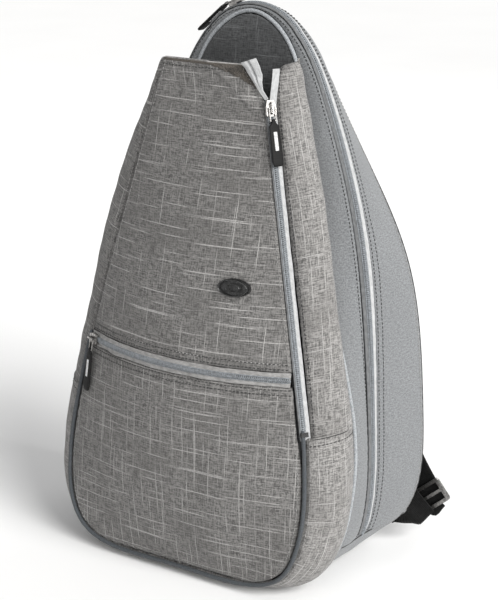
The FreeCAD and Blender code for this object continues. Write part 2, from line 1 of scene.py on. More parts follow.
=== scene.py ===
"""Looks of the racket backpack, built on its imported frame.

Points are worked out in millimetres in the frame's own axes (+Z up, -Y the front) and
become metres when a mesh is made. The outlines and planes repeat those of the CAD model.
"""
import math

import bmesh
import bpy
import numpy as np
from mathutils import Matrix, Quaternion, Vector


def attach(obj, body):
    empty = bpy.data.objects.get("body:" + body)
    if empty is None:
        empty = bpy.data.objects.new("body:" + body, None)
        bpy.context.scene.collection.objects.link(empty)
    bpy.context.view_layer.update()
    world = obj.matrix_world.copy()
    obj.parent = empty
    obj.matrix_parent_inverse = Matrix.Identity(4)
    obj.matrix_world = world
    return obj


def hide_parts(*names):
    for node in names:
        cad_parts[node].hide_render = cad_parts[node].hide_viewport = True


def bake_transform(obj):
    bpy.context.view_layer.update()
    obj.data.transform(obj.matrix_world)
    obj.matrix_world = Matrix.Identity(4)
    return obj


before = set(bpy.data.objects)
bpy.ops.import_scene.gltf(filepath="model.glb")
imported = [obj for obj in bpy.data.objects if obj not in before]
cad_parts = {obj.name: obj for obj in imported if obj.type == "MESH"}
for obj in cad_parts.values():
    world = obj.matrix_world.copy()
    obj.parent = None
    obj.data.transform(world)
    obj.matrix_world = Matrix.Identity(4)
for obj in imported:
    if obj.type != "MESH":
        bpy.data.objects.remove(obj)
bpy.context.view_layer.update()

MM = 0.001

# ---------------------------------------------------------------- camera
CAM_AZIMUTH, CAM_ELEVATION, CAM_ROLL = 33.938, 17.015, 0.132
CAM_DISTANCE = 1.619052
CAM_TARGET = Vector((0.017775, 0.0, 0.24068))
CAM_LENS = 106.51


def make_camera():
    azimuth, elevation = math.radians(CAM_AZIMUTH), math.radians(CAM_ELEVATION)
    back = Vector((math.sin(azimuth) * math.cos(elevation),
                   -math.cos(azimuth) * math.cos(elevation), math.sin(elevation)))
    data = bpy.data.cameras.new("camera")
    data.sensor_width = 36.0
    data.lens = CAM_LENS
    camera = bpy.data.objects.new("camera", data)
    bpy.context.scene.collection.objects.link(camera)
    camera.location = CAM_TARGET + back * CAM_DISTANCE
    camera.rotation_mode = "QUATERNION"
    look = (-back).to_track_quat("-Z", "Y")
    camera.rotation_quaternion = look @ Quaternion((0, 0, 1), math.radians(CAM_ROLL))
    bpy.context.scene.camera = camera


make_camera()

# ---------------------------------------------------------------- sizes from the model
CLOTH = 2.4            # padded cloth panel
GAP = 0.4              # free space between sewn pieces
PIPING_R = 1.8
TAPE_T = 1.0
TAPE_HALF = 6.0
COIL_HALF = 2.8
BACK_Y = 75.0
MOUTH_Z = 461.0        # top edge of the racket compartment
POCKET_ZIP_Z = 201.0
SLIDER_Z = 428.0       # where the racket zip's slider rests
SEAM_S = 4.0           # station of the seam across the racket gussets
ZIP_END_S = 2.35       # station where the main zip ends above the base
BASE_S = 1.22          # station where the flat base ends
TOP_ARC_R, TOP_ARC_Z = 59.1, 445.9
FRONT_PLANE = (-94.0, 0.139)
BODY_PLANE = (-39.7, 0.141)
ZIP_PLANE = (8.5, 0.058)
FRONT_OUTLINE = [(0, 8), (70, 8.5), (112, 24), (129, 68), (124.5, 146), (101.2, 265),
                 (83.2, 342), (62.8, 429), (55.3, MOUTH_Z)]
BODY_OUTLINE = [(0, 5), (76, 6), (126, 20), (145, 70), (142, 150), (103, 265),
                (80, 345), (60, 432), (38, 478), (0, 499)]
ZIP_OUTLINE = [(0, 5), (80, 6), (126, 20), (142.5, 66), (140.5, 146), (127.8, 265),
               (107.7, 352), (78.3, 430), (46.8, 482), (0, 505)]
BACK_OUTLINE = [(0, 6), (84, 7), (132, 22), (157, 66), (159, 150), (143, 268),
                (100, 358), (56, 432), (32, 468), (0, 484)]
BULGE_AT_ZIP = 29.0
BULGE = [(8, 0.3), (50, 13), (110, 25), (POCKET_ZIP_Z, BULGE_AT_ZIP), (300, 20), (400, 8),
         (MOUTH_Z, 0.5)]
SIDE_PUFF = [(8, 4), (20, 10), (68, 17), (146, 16), (225, 21), (254, 24), (306, 27),
             (342, 26), (400, 20), (MOUTH_Z, 15)]
ZIP_INSET, CORNER_LEAN, ZIP_SLOPE = 5.0, 20.0, 0.2283
RZ_LOW, RZ_SINK = 158.0, 3.0


# ---------------------------------------------------------------- geometry helpers
def unit(a):
    a = np.asarray(a, float)
    return a / np.maximum(np.linalg.norm(a, axis=-1, keepdims=True), 1e-9)


def vec(*xyz):
    return np.array(xyz, float)


def lerp(a, b, t):
    return a + (b - a) * t


def step(lo, hi, x):
    """Smooth rise from 0 at lo to 1 at hi."""
    t = np.clip((np.asarray(x, float) - lo) / (hi - lo), 0, 1)
    return t * t * (3 - 2 * t)


def hermite(f, start, end, start_slope, end_slope):
    """Cubic from start to end as f goes from 0 to 1, with slopes scaled to that step."""
    return ((2 * f ** 3 - 3 * f * f + 1) * start + (f ** 3 - 2 * f * f + f) * start_slope
            + (3 * f * f - 2 * f ** 3) * end + (f ** 3 - f * f) * end_slope)


def curve(rows):
    """Smooth function through a short table of (x, value) rows, with no overshoot."""
    xs, vs = np.array(rows, float).T
    slope = np.diff(vs) / np.diff(xs)
    tangent = [slope[0]]
    for a, b in zip(slope, slope[1:]):
        tangent.append(0.0 if a * b <= 0 else 2 * a * b / (a + b))
    tangent.append(slope[-1])
    dense_x, dense_v = [], []
    for i in range(len(slope)):
        h = xs[i + 1] - xs[i]
        t = np.linspace(0, 1, 40)
        dense_x.append(xs[i] + h * t)
        dense_v.append(hermite(t, vs[i], vs[i + 1], h * tangent[i], h * tangent[i + 1]))
    dense_x, dense_v = np.concatenate(dense_x), np.concatenate(dense_v)
    return lambda x: np.interp(x, dense_x, dense_v)


def spline_slopes(points, steps, closed):
    """Slopes of the cubic spline through points, whose parameter grows by steps."""
    n = len(points)
    secant = np.diff(points, axis=0) / steps[:, None]
    left, right = np.zeros((n, n)), np.zeros(points.shape)
    for i in range(1, n - 1):
        a, b = steps[i - 1], steps[i]
        left[i, i - 1:i + 2] = b, 2 * (a + b), a
        right[i] = 3 * (b * secant[i - 1] + a * secant[i])
    left[0, 0] = left[-1, -1] = 1.0
    if closed:
        a, b = steps[-1], steps[0]
        left[0, [n - 2, 0, 1]] = b, 2 * (a + b), a
        right[0] = 3 * (b * secant[-1] + a * secant[0])
        left[-1, 0] = -1.0
    else:
        right[0] = secant[0] - (secant[1] - secant[0]) * steps[0] / (steps[0] + steps[1])
        right[-1] = secant[-1] + (secant[-1] - secant[-2]) * steps[-1] / (steps[-1] + steps[-2])
    return np.linalg.solve(left, right)


def spline(points, closed=False, sharp=1.0):
    """Function t -> point on the cubic spline through points, t from 0 to their count."""
    points = np.array(points, float)
    if closed:
        points = np.vstack([points, points[:1]])
    steps = np.linalg.norm(np.diff(points, axis=0), axis=1) ** sharp
    slopes = spline_slopes(points, steps, closed)

    def at(t):
        t = np.clip(np.asarray(t, float), 0, len(points) - 1 - 1e-9)
        i = t.astype(int)
        f, h = (t - i)[..., None], steps[i][..., None]
        return hermite(f, points[i], points[i + 1], h * slopes[i], h * slopes[i + 1])
    return at


class Outline:
    """A symmetric outline on a leaning plane y = a + b z. Station s runs from 0, the
    bottom centre, to n, the last point, and negative s is the left half."""

    def __init__(self, half, plane, closed=True, arch=None):
        self.plane, self.arch, self.n = plane, arch, len(half) - 1
        self.last = half[-2]
        right = half[:-1] if closed else half
        ring = [(-x, z) for x, z in reversed(half[1:])] + list(right)
        self.at = spline(ring, closed, sharp=0.5)

    def point(self, s):
        s = np.asarray(s, float)
        x, z = np.moveaxis(self.at(s + self.n), -1, 0)
        if self.arch:
            radius, height = self.arch
            angle = math.atan2(self.last[0], self.last[1] - height) * (self.n - np.abs(s))
            top = np.abs(s) > self.n - 1
            x = np.where(top, np.copysign(radius * np.sin(angle), s), x)
            z = np.where(top, height + radius * np.cos(angle), z)
        return np.stack([x, self.plane[0] + self.plane[1] * z, z], -1)

    def normal(self, s):
        s = np.asarray(s, float)
        d = self.point(np.minimum(s + 0.02, self.n)) - self.point(np.maximum(s - 0.02, -self.n))
        return unit(np.stack([d[..., 2], np.zeros(d.shape[:-1]), -d[..., 0]], -1))

    def half_at(self, z):
        """Half width at a height, above the flat bottom."""
        p = self.point(np.linspace(1, self.n, 600))
        return np.interp(z, p[:, 2], p[:, 0])


FRONT = Outline(FRONT_OUTLINE, FRONT_PLANE, closed=False)
BODY = Outline(BODY_OUTLINE, BODY_PLANE)
ZIP = Outline(ZIP_OUTLINE, ZIP_PLANE, arch=(TOP_ARC_R, TOP_ARC_Z))
BACK = Outline(BACK_OUTLINE, (BACK_Y, 0.0))
bulge, side_puff = curve(BULGE), curve(SIDE_PUFF)


def front_y(z):
    return FRONT_PLANE[0] + FRONT_PLANE[1] * z


def front_point(x, z):
    """Point of the bulging front: every level is an arc through both edges."""
    half = FRONT.half_at(z)
    rise = np.maximum(bulge(z), 0.05)
    radius = (half * half + rise * rise) / (2 * rise)
    drop = np.sqrt(np.maximum(radius * radius - x * x, 0)) - (radius - rise)
    return np.stack(np.broadcast_arrays(x, front_y(z) - drop, z), -1)


def zip_x(z):
    return FRONT_OUTLINE[-1][0] + (MOUTH_Z - z) * ZIP_SLOPE


def arc_lengths(grid):
    """Distance along the columns' and the rows' directions, each from its own start."""
    across = np.linalg.norm(np.diff(grid, axis=1), axis=-1)
    along = np.linalg.norm(np.diff(grid, axis=0), axis=-1)
    u = np.concatenate([np.zeros((grid.shape[0], 1)), np.cumsum(across, axis=1)], 1)
    v = np.concatenate([np.zeros((1, grid.shape[1])), np.cumsum(along, axis=0)], 0)
    return u, v


def grid_normals(grid, flip=1.0):
    return unit(np.cross(np.gradient(grid, axis=0), np.gradient(grid, axis=1))) * flip


WAVE_COUNT = 9


def waves(u, v, size, seed):
    """Smooth seeded unevenness between about -1 and 1, with features of a given size."""
    rng = np.random.default_rng(seed)
    total = 0.0
    for _ in range(WAVE_COUNT):
        angle, phase = rng.uniform(0, math.pi), rng.uniform(0, 2 * math.pi)
        k = 2 * math.pi / (size * rng.uniform(0.7, 1.8))
        total = total + np.sin(k * (u * math.cos(angle) + v * math.sin(angle)) + phase)
    return total / math.sqrt(WAVE_COUNT) / 1.4


def puckers(along, away, seed, height=0.45, wave=9.0, reach=7.0):
    """Small gathers that a seam pulls into cloth: ripples along it that fade away from it."""
    drift = waves(along, away * 0.2, 60.0, seed) * 2.2
    strength = 0.55 + 0.45 * waves(along, along * 0.1, 45.0, seed + 1)
    return height * strength * np.sin(2 * math.pi * along / wave + drift) * np.exp(-away / reach)


# ---------------------------------------------------------------- mesh helpers
def make_object(name, points, faces, uvs=None):
    """Mesh object from points in millimetres; uvs are millimetres too, one per point."""
    mesh = bpy.data.meshes.new(name)
    corners = (np.asarray(points, float) * MM).tolist()
    mesh.from_pydata(corners, [], [list(map(int, f)) for f in faces])
    if uvs is not None:
        layer = mesh.uv_layers.new(name="cloth")
        index = np.zeros(len(mesh.loops), int)
        mesh.loops.foreach_get("vertex_index", index)
        layer.data.foreach_set("uv", (np.asarray(uvs, float)[index] * MM).ravel())
    work = bmesh.new()
    work.from_mesh(mesh)
    bmesh.ops.recalc_face_normals(work, faces=work.faces)
    work.to_mesh(mesh)
    work.free()
    mesh.shade_smooth()
    made = bpy.data.objects.new(name, mesh)
    bpy.context.scene.collection.objects.link(made)
    return made


def quads(rows, cols, start=0, wrap=False):
    """Faces of a grid of rows by cols points; wrap joins the last column to the first."""
    r, c = np.meshgrid(np.arange(rows - 1), np.arange(cols if wrap else cols - 1), indexing="ij")
    n = (c + 1) % cols
    return np.stack([start + r * cols + c, start + (r + 1) * cols + c,
                     start + (r + 1) * cols + n, start + r * cols + n], -1).reshape(-1, 4)


def tube_faces(rows, around):
    """Faces of a closed tube: its wall and both end caps."""
    caps = [list(range(around))[::-1], [(rows - 1) * around + i for i in range(around)]]
    return quads(rows, around, wrap=True).tolist() + caps


def run_length(path):
    """Distance of each point of a polyline from its start."""
    return np.concatenate([[0], np.cumsum(np.linalg.norm(np.diff(path, axis=0), axis=1))])


def sweep(path, *moves):
    """Grid whose rows start at a path's points and move along directions by weights."""
    grid = path[:, None]
    for direction, weight in moves:
        grid = grid + direction[:, None] * weight[..., None]
    return grid


def shell(name, grid, depth=CLOTH, flip=1.0, rim=0.5):
    """Closed sheet with a rounded rim. grid is its outer face, rows by columns."""
    rows, cols = grid.shape[:2]
    inner = grid - grid_normals(grid, flip) * depth
    u, v = arc_lengths(grid)
    u = u - u[:, -1:] / 2
    flat = np.stack([u, np.broadcast_to(v.mean(1)[:, None], v.shape)], -1)
    ring = ([(0, c) for c in range(cols)] + [(r, cols - 1) for r in range(1, rows)]
            + [(rows - 1, c) for c in range(cols - 2, -1, -1)]
            + [(r, 0) for r in range(rows - 2, 0, -1)])
    r, c = np.array(ring).T
    ri, ci = np.clip(r, 1, rows - 2), np.clip(c, 1, cols - 2)
    out = unit(grid[r, c] - grid[ri, ci])
    middle = (grid[r, c] + inner[r, c]) / 2 + out * depth * rim
    points = np.concatenate([grid.reshape(-1, 3), inner.reshape(-1, 3), middle])
    uvs = np.concatenate([flat.reshape(-1, 2), flat.reshape(-1, 2), flat[r, c]])
    a = r * cols + c
    b = np.roll(a, -1)
    m = 2 * rows * cols + np.arange(len(ring))
    m2 = np.roll(m, -1)
    base = rows * cols
    faces = [quads(rows, cols), quads(rows, cols, base)[:, ::-1], np.stack([a, b, m2, m], 1),
             np.stack([m, m2, base + b, base + a], 1)]
    return make_object(name, points, np.concatenate(faces), uvs)


def tangents(path):
    """Unit tangents of a polyline."""
    return unit(np.gradient(path, axis=0))


def resample(path, spacing, *others):
    """Points at even spacing along a polyline, with matching rows of other arrays."""
    length = run_length(path)
    at = np.linspace(0, length[-1], max(int(round(length[-1] / spacing)), 2) + 1)
    picked = [np.stack([np.interp(at, length, a[:, k]) for k in range(3)], 1)
              for a in (path, *others)]
    return picked if others else picked[0]


def tube(name, path, out, radius, sides=12):
    """Round cord along a polyline, closed at both ends; out is a side direction."""
    along = tangents(path)
    out = unit(out - along * np.sum(out * along, -1, keepdims=True))
    side = np.cross(along, out)
    angle = np.linspace(0, 2 * math.pi, sides, endpoint=False)
    scale = np.ones(len(path))
    scale[[0, -1]] = 0.05
    scale[[1, -2]] = 0.8
    radius = np.broadcast_to(radius, len(path)) * scale
    grid = sweep(path, (out, np.cos(angle) * radius[:, None]), (side, np.sin(angle) * radius[:, None]))
    length = run_length(path)
    uvs = np.stack([np.broadcast_to(angle * radius.max(), grid.shape[:2]),
                    np.broadcast_to(length[:, None], grid.shape[:2])], -1)
    return make_object(name, grid.reshape(-1, 3), tube_faces(len(path), sides), uvs.reshape(-1, 2))


def capsules(name, starts, ends, outs, radius, arch=0.0, sides=6, rings=5):
    """Many short threads or teeth in one mesh, each from a start to an end, arched along
    its out direction."""
    starts, ends, outs = (np.asarray(a, float) for a in (starts, ends, outs))
    t = np.linspace(0, 1, rings)
    round_off = np.sqrt(np.clip(1 - (2 * t - 1) ** 4, 0.02, 1))
    lift = np.sin(math.pi * t) * arch
    along = unit(ends - starts)
    outs = unit(outs - along * np.sum(outs * along, -1, keepdims=True))
    side = np.cross(along, outs)
    angle = np.linspace(0, 2 * math.pi, sides, endpoint=False)
    centre = (starts[:, None] + (ends - starts)[:, None] * t[None, :, None]
              + outs[:, None] * lift[None, :, None])
    wheel = (outs[:, None] * np.cos(angle)[None, :, None]
             + side[:, None] * np.sin(angle)[None, :, None])
    points = centre[:, :, None] + wheel[:, None] * (round_off * radius)[None, :, None, None]
    one = tube_faces(rings, sides)
    size = rings * sides
    faces = []
    for k in range(len(starts)):
        faces += [[k * size + i for i in f] for f in one]
    return make_object(name, points.reshape(-1, 3), faces)


STITCH_PITCH, STITCH_LENGTH, STITCH_R = 3.6, 2.7, 0.42


# ---------------------------------------------------------------- materials
class Finish:
    """A material under construction, with short ways to add its nodes."""

    def __init__(self, name, roughness=0.8, sheen=0.0, metallic=0.0, specular=0.5):
        self.material = bpy.data.materials.new(name)
        self.material.use_nodes = True
        self.tree = self.material.node_tree
        self.shader = self.tree.nodes["Principled BSDF"]
        self.shader.inputs["Roughness"].default_value = roughness
        self.shader.inputs["Metallic"].default_value = metallic
        self.shader.inputs["Specular IOR Level"].default_value = specular
        self.shader.inputs["Sheen Weight"].default_value = sheen
        self.shader.inputs["Sheen Roughness"].default_value = 0.5

    def node(self, kind, inputs=(), **settings):
        made = self.tree.nodes.new("ShaderNode" + kind)
        for key, value in settings.items():
            setattr(made, key, value)
        for key, value in dict(inputs).items():
            self.put(made.inputs[key], value)
        return made

    def put(self, socket, value):
        if isinstance(value, bpy.types.NodeSocket):
            self.tree.links.new(value, socket)
        else:
            socket.default_value = value

    def math(self, operation, a, b=0.0, c=0.0):
        return self.node("Math", {0: a, 1: b, 2: c}, operation=operation).outputs[0]

    def add(self, *values):
        total = values[0]
        for value in values[1:]:
            total = self.math("ADD", total, value)
        return total

    def times(self, a, b):
        return self.math("MULTIPLY", a, b)

    def ramp(self, value, lo, hi, out_lo=0.0, out_hi=1.0):
        inputs = {"Value": value, "From Min": lo, "From Max": hi,
                  "To Min": out_lo, "To Max": out_hi}
        return self.node("MapRange", inputs, interpolation_type="SMOOTHSTEP").outputs[0]

    def mix(self, factor, a, b):
        inputs = {0: factor, 6: a, 7: b}
        return self.node("Mix", inputs, data_type="RGBA").outputs[2]

    def tones(self, value, lo, hi, dark, light, warm=0.0):
        """Grey that goes from dark to light as a value goes from lo to hi."""
        return self.mix(self.ramp(value, lo, hi), grey(dark, warm), grey(light, warm))

    def cloth_uv(self):
        """The cloth's own flat coordinates, in millimetres: across and along."""
        uv = self.node("UVMap", uv_map="cloth").outputs[0]
        big = self.node("VectorMath", {0: uv, "Scale": 1000.0}, operation="SCALE").outputs[0]
        split = self.node("SeparateXYZ", {0: big})
        return split.outputs[0], split.outputs[1]

    def place_mm(self):
        """The point's own place in the piece, in millimetres."""
        at = self.node("TexCoord").outputs["Object"]
        return self.node("VectorMath", {0: at, "Scale": 1000.0}, operation="SCALE").outputs[0]

    def noise(self, vector, scale, detail=2.0):
        inputs = {"Vector": vector, "Scale": scale, "Detail": detail}
        return self.node("TexNoise", inputs).outputs[0]

    def stretched(self, u, v, length_u, length_v, seed=0.0, detail=2.0):
        """Noise whose features measure length_u by length_v millimetres."""
        vector = self.node("CombineXYZ", {0: self.math("DIVIDE", u, length_u),
                                          1: self.math("DIVIDE", v, length_v), 2: seed}).outputs[0]
        return self.noise(vector, 1.0, detail)

    def threads(self, along, across, pitch, width, run, share, seed):
        """Long thin slub threads: about one per pitch, broken into runs of a length."""
        row = self.math("FLOOR", self.math("DIVIDE", across, pitch))
        chance = self.node("TexWhiteNoise", {"W": self.add(row, seed)},
                           noise_dimensions="1D").outputs[0]
        centre = self.times(self.add(row, self.times(chance, 0.7), 0.15), pitch)
        wander = self.stretched(along, self.times(row, 60.0), 55.0, 10.0, seed)
        centre = self.add(centre, self.times(self.add(wander, -0.5), 1.6))
        away = self.math("ABSOLUTE", self.math("SUBTRACT", across, centre))
        swell = self.stretched(along, self.times(row, 60.0), 9.0, 10.0, seed + 3.0)
        line = self.ramp(self.math("SUBTRACT", away, self.times(swell, width * 0.5)),
                         width * 0.1, width * 0.5, 1.0, 0.0)
        on = self.stretched(along, self.times(row, 90.0), run, 10.0, seed + 7.0, 1.0)
        return self.times(line, self.ramp(on, 0.58 - share * 0.3, 0.74 - share * 0.3))

    def weave(self, u, v, pitch):
        """Height of a plain weave, from 0 to 1."""
        a = self.math("SINE", self.times(u, math.pi / pitch))
        b = self.math("SINE", self.times(v, math.pi / pitch))
        return self.math("ABSOLUTE", self.times(self.math("ADD", a, b), 0.5))

    def bump(self, height, distance_mm, strength=1.0):
        inputs = {"Height": height, "Distance": distance_mm * MM, "Strength": strength}
        self.put(self.shader.inputs["Normal"], self.node("Bump", inputs).outputs[0])

    def colour(self, value):
        self.put(self.shader.inputs["Base Color"], value)

    def rough(self, value):
        self.put(self.shader.inputs["Roughness"], value)


def grey(value, warm=0.0):
    """Linear colour of a grey; warm over 0 leans to taupe and under 0 to blue."""
    return (value * (1 + warm), value, value * (1 - warm), 1.0)


def slub_cloth(name, tone, warm, across_share, along_share, across_pitch, along_pitch, pale=2.6):
    """Melange plain weave with long pale uneven threads both ways."""
    f = Finish(name, roughness=0.88, sheen=0.12)
    u, v = f.cloth_uv()
    weft = f.stretched(u, v, 8.0, 1.0, 1.0)
    warp = f.stretched(u, v, 1.0, 8.0, 5.0)
    speck = f.stretched(u, v, 1.5, 1.5, 9.0)
    cloud = f.stretched(u, v, 46.0, 46.0, 13.0)
    grain = f.add(f.times(weft, 0.42), f.times(warp, 0.34), f.times(speck, 0.24))
    base = f.tones(grain, 0.38, 0.61, tone * 0.40, tone * 1.74, warm)
    base = f.mix(f.ramp(cloud, 0.35, 0.7, 0.0, 0.42), base, grey(tone * 0.7, warm * 1.4))
    lines = [f.threads(u, v, across_pitch, 0.7, 60.0, across_share, 3.0),
             f.threads(u, v, across_pitch * 2.3, 0.95, 85.0, across_share * 0.9, 31.0),
             f.threads(v, u, along_pitch, 0.62, 55.0, along_share, 57.0),
             f.threads(v, u, along_pitch * 1.9, 0.7, 80.0, along_share * 0.8, 83.0)]
    mask = lines[0]
    for line in lines[1:]:
        mask = f.math("MAXIMUM", mask, line)
    shine = f.times(mask, f.ramp(speck, 0.25, 0.65, 0.5, 1.0))
    f.colour(f.mix(shine, base, grey(min(tone * pale, 0.8), warm * 0.8)))
    height = f.add(f.times(f.weave(u, v, 0.62), 0.4), f.times(grain, 0.9), f.times(mask, 0.45))
    f.bump(height, 0.42)
    return f.material


def heather_cloth(name, tone, warm):
    """Smooth fine twill of mixed blue-grey yarns."""
    f = Finish(name, roughness=0.85, sheen=0.15)
    u, v = f.cloth_uv()
    fine = f.stretched(u, v, 1.15, 1.5, 2.0, 3.0)
    flow = f.stretched(u, v, 3.4, 1.0, 6.0)
    cloud = f.stretched(u, v, 60.0, 60.0, 8.0)
    mixed = f.add(f.times(fine, 0.6), f.times(flow, 0.4))
    base = f.tones(mixed, 0.36, 0.64, tone * 0.68, tone * 1.32, warm)
    f.colour(f.mix(f.ramp(cloud, 0.3, 0.7, 0.0, 0.2), base, grey(tone * 0.85, warm)))
    twill = f.math("SINE", f.times(f.add(u, f.times(v, 0.55)), 2 * math.pi / 0.95))
    f.bump(f.add(f.times(twill, 0.25), mixed), 0.25)
    return f.material


def ribbed(name, tone, warm, rib, roughness, contrast=0.25, sheen=0.1):
    """Narrow woven goods: tape, webbing and binding, with ribs across their length."""
    f = Finish(name, roughness=roughness, sheen=sheen, specular=0.5 if tone > 0.05 else 0.15)
    u, v = f.cloth_uv()
    ribs = f.math("SINE", f.times(v, 2 * math.pi / rib))
    cross = f.math("SINE", f.times(u, 2 * math.pi / (rib * 0.8)))
    worn = f.stretched(u, v, 2.2, 5.0, 4.0)
    mixed = f.add(f.times(ribs, 0.18), f.times(cross, 0.12), worn)
    light = min(tone * (1 + contrast), 0.9)
    f.colour(f.tones(mixed, 0.25, 0.8, tone * (1 - contrast), light, warm))
    f.bump(f.add(f.times(ribs, 0.5), f.times(cross, 0.4), f.times(worn, 0.4)), 0.22)
    return f.material


def plain_cloth(name, tone, warm, pitch=0.7, roughness=0.9):
    """Plain fine weave that needs no flat coordinates, for linings, piping and threads."""
    f = Finish(name, roughness=roughness, sheen=0.1)
    at = f.place_mm()
    split = f.node("SeparateXYZ", {0: at})
    a = f.math("SINE", f.times(f.add(split.outputs[0], split.outputs[1]), 2 * math.pi / pitch))
    b = f.math("SINE", f.times(split.outputs[2], 2 * math.pi / pitch))
    fine = f.noise(at, 0.9, 3.0)
    f.colour(f.tones(fine, 0.3, 0.7, tone * 0.7, min(tone * 1.3, 0.9), warm))
    f.bump(f.add(f.times(f.times(a, b), 0.35), fine), 0.2)
    return f.material


def spacer_mesh(name):
    """Black spacer mesh: small round holes in staggered rows over a dark ground."""
    f = Finish(name, roughness=0.75, sheen=0.25)
    split = f.node("SeparateXYZ", {0: f.place_mm()})
    u, v = split.outputs[0], split.outputs[2]
    pitch = 2.6
    a = f.math("SINE", f.times(u, math.pi / pitch))
    b = f.math("SINE", f.times(v, math.pi / (pitch * 0.87)))
    holes = f.ramp(f.math("ABSOLUTE", f.times(a, b)), 0.38, 0.72)
    fuzz = f.stretched(u, v, 0.8, 0.8, 3.0)
    cloth = f.tones(fuzz, 0.3, 0.7, 0.028, 0.080, -0.05)
    f.colour(f.mix(holes, cloth, grey(0.006)))
    f.bump(f.add(f.times(holes, -1.0), f.times(fuzz, 0.3)), 0.5)
    return f.material


def moulded(name, dark, light, warm, scale, rough, relief, specular=0.5):
    """Moulded plastic, with faint streaks of a scale; rough is its range of roughness."""
    f = Finish(name, specular=specular)
    streaks = f.noise(f.place_mm(), scale, 3.0)
    f.colour(f.tones(streaks, 0.3, 0.7, dark, light, warm))
    f.rough(f.ramp(streaks, 0.2, 0.8, *rough))
    f.bump(streaks, relief)
    return f.material


def plated(name, tone, warm, rough_low, rough_high):
    """Plated metal whose colour darkens in patches, a painted reflection, over roughness that varies
    in the same patches as on worn plating.
    """
    f = Finish(name, roughness=rough_low, metallic=1.0)
    at = f.place_mm()
    wear_and_painted_reflection = f.noise(at, 0.35, 4.0)
    fine = f.noise(at, 4.0, 2.0)
    # Colour patches of painted reflection: the plating goes from its tone down to half of it.
    f.colour(f.tones(wear_and_painted_reflection, 0.35, 0.65, tone, tone * 0.5, warm))
    f.rough(f.ramp(wear_and_painted_reflection, 0.2, 0.8, rough_low, rough_high))
    f.bump(fine, 0.005)
    return f.material


SLUB = slub_cloth("slub_front", 0.120, 0.030, 0.47, 0.30, 10.0, 14.0, pale=3.1)
SLUB_POCKET = slub_cloth("slub_pocket", 0.120, 0.030, 0.48, 0.46, 8.5, 8.5, pale=2.8)
# The same slub cloth as the front, painted lighter for the light that falls on the right-hand side of
# the bag.
SLUB_PAINTED_LIGHT = slub_cloth("slub_side_painted_light", 0.176, 0.030, 0.30, 0.50, 14.0, 9.0, pale=2.1)
# The slub in a darker tone: partly a darker cloth, partly painted shade for the recess above the
# racket pocket.
SLUB_DARK_AND_SHADED = slub_cloth("slub_inner_dark_and_painted_shade", 0.055, -0.03, 0.40, 0.30, 12.0, 15.0, pale=2.4)
HEATHER = heather_cloth("heather", 0.176, -0.035)
TAPE = ribbed("zip_tape", 0.44, -0.01, 1.1, 0.42, 0.22, 0.3)
TAPE_DULL = ribbed("zip_tape_dull", 0.27, 0.02, 1.1, 0.6, 0.35)
# Zip tape painted darker, as painted shade where the tape runs under the edge of the cloth beside it.
TAPE_SHADED = ribbed("zip_tape_shaded", 0.13, -0.03, 1.1, 0.6, 0.35)
WEBBING = ribbed("webbing", 0.008, 0.0, 1.6, 0.75, 0.5, 0.0)
BINDING = ribbed("binding", 0.03, -0.05, 1.2, 0.7, 0.4)
LINING = plain_cloth("lining", 0.05, -0.03)
# Dark cloth laid over the panel as painted shade, in the pressed-in corner and along the hem band.
FOLD_PAINTED_SHADE = plain_cloth("painted_fold_shade", 0.062, 0.16)
SILVER_PIPING = plain_cloth("silver_piping", 0.31, -0.05, 0.9, 0.6)
DARK_PIPING = plain_cloth("dark_piping", 0.055, -0.12, 0.9, 0.75)
DARK_THREAD = plain_cloth("dark_thread", 0.016, 0.0, 0.5, 0.7)
GREY_THREAD = plain_cloth("grey_thread", 0.24, 0.02, 0.5, 0.7)
MESH_CLOTH = spacer_mesh("spacer_mesh")
COIL = moulded("coil", 0.15, 0.25, -0.07, 0.5, (0.32, 0.5), 0.05)
NICKEL = plated("nickel", 0.42, 0.03, 0.24, 0.42)
GUNMETAL = plated("gunmetal", 0.10, 0.0, 0.18, 0.34)
RUBBER = moulded("pull_rubber", 0.004, 0.010, 0.0, 2.2, (0.5, 0.75), 0.06, 0.18)
STRIPE = plain_cloth("pull_stripe", 0.6, 0.0, 0.5, 0.5)
PAD_CLOTH = plain_cloth("pad_cloth", 0.11, -0.06, 0.9)


# ---------------------------------------------------------------- piece bookkeeping
def dress(piece, material, body="bag", replaces=()):
    """Gives a piece its material and body, and hides the CAD nodes that it stands for."""
    piece.data.materials.clear()
    piece.data.materials.append(material)
    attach(piece, body)
    if replaces:
        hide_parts(*replaces)
    return piece


def stitches(name, path, out, lift=0.25, thread=DARK_THREAD, body="bag"):
    """Row of thread stitches on a surface: path lies on it, and out points away from it."""
    path, out = resample(path, STITCH_PITCH, out)
    out = unit(out)
    reach = tangents(path) * STITCH_LENGTH / 2
    base = path + out * (lift - 0.3)
    dress(capsules(name, base - reach, base + reach, out, STITCH_R, arch=0.38), thread, body)


def cloth_panel(name, grid, material, replaces=(),
                depth=CLOTH, flip=-1.0):
    """A sewn panel of the bag: a sheet of cloth with its real thickness."""
    piece = dress(shell(name, grid, depth, flip), material, "bag", replaces)


# ---------------------------------------------------------------- racket compartment
def left_edge(z):
    return 2.0 - FRONT.half_at(z)


def open_edge(z):
    """Right edge of the upper panel: above the slider the free corner leans inward."""
    lift = np.maximum(z - SLIDER_Z, 0.0) / (MOUTH_Z - SLIDER_Z)
    return zip_x(z) - ZIP_INSET - CORNER_LEAN * lift


OFF_TAPE = 0.5                   # gap between the pocket zip's tape and each panel
POCKET_FLOOR_Z = 12              # lowest level of the pocket's panel
ARCH_S, TOP_S = 7.0, 9.0         # stations where the round top starts and where it peaks
HEM_Z = MOUTH_Z - 6.0            # stitch line of the folded hem
FOLD_LENGTH, FOLD_DROP = 34.0, 23.0   # the free corner's crease, along the mouth and down


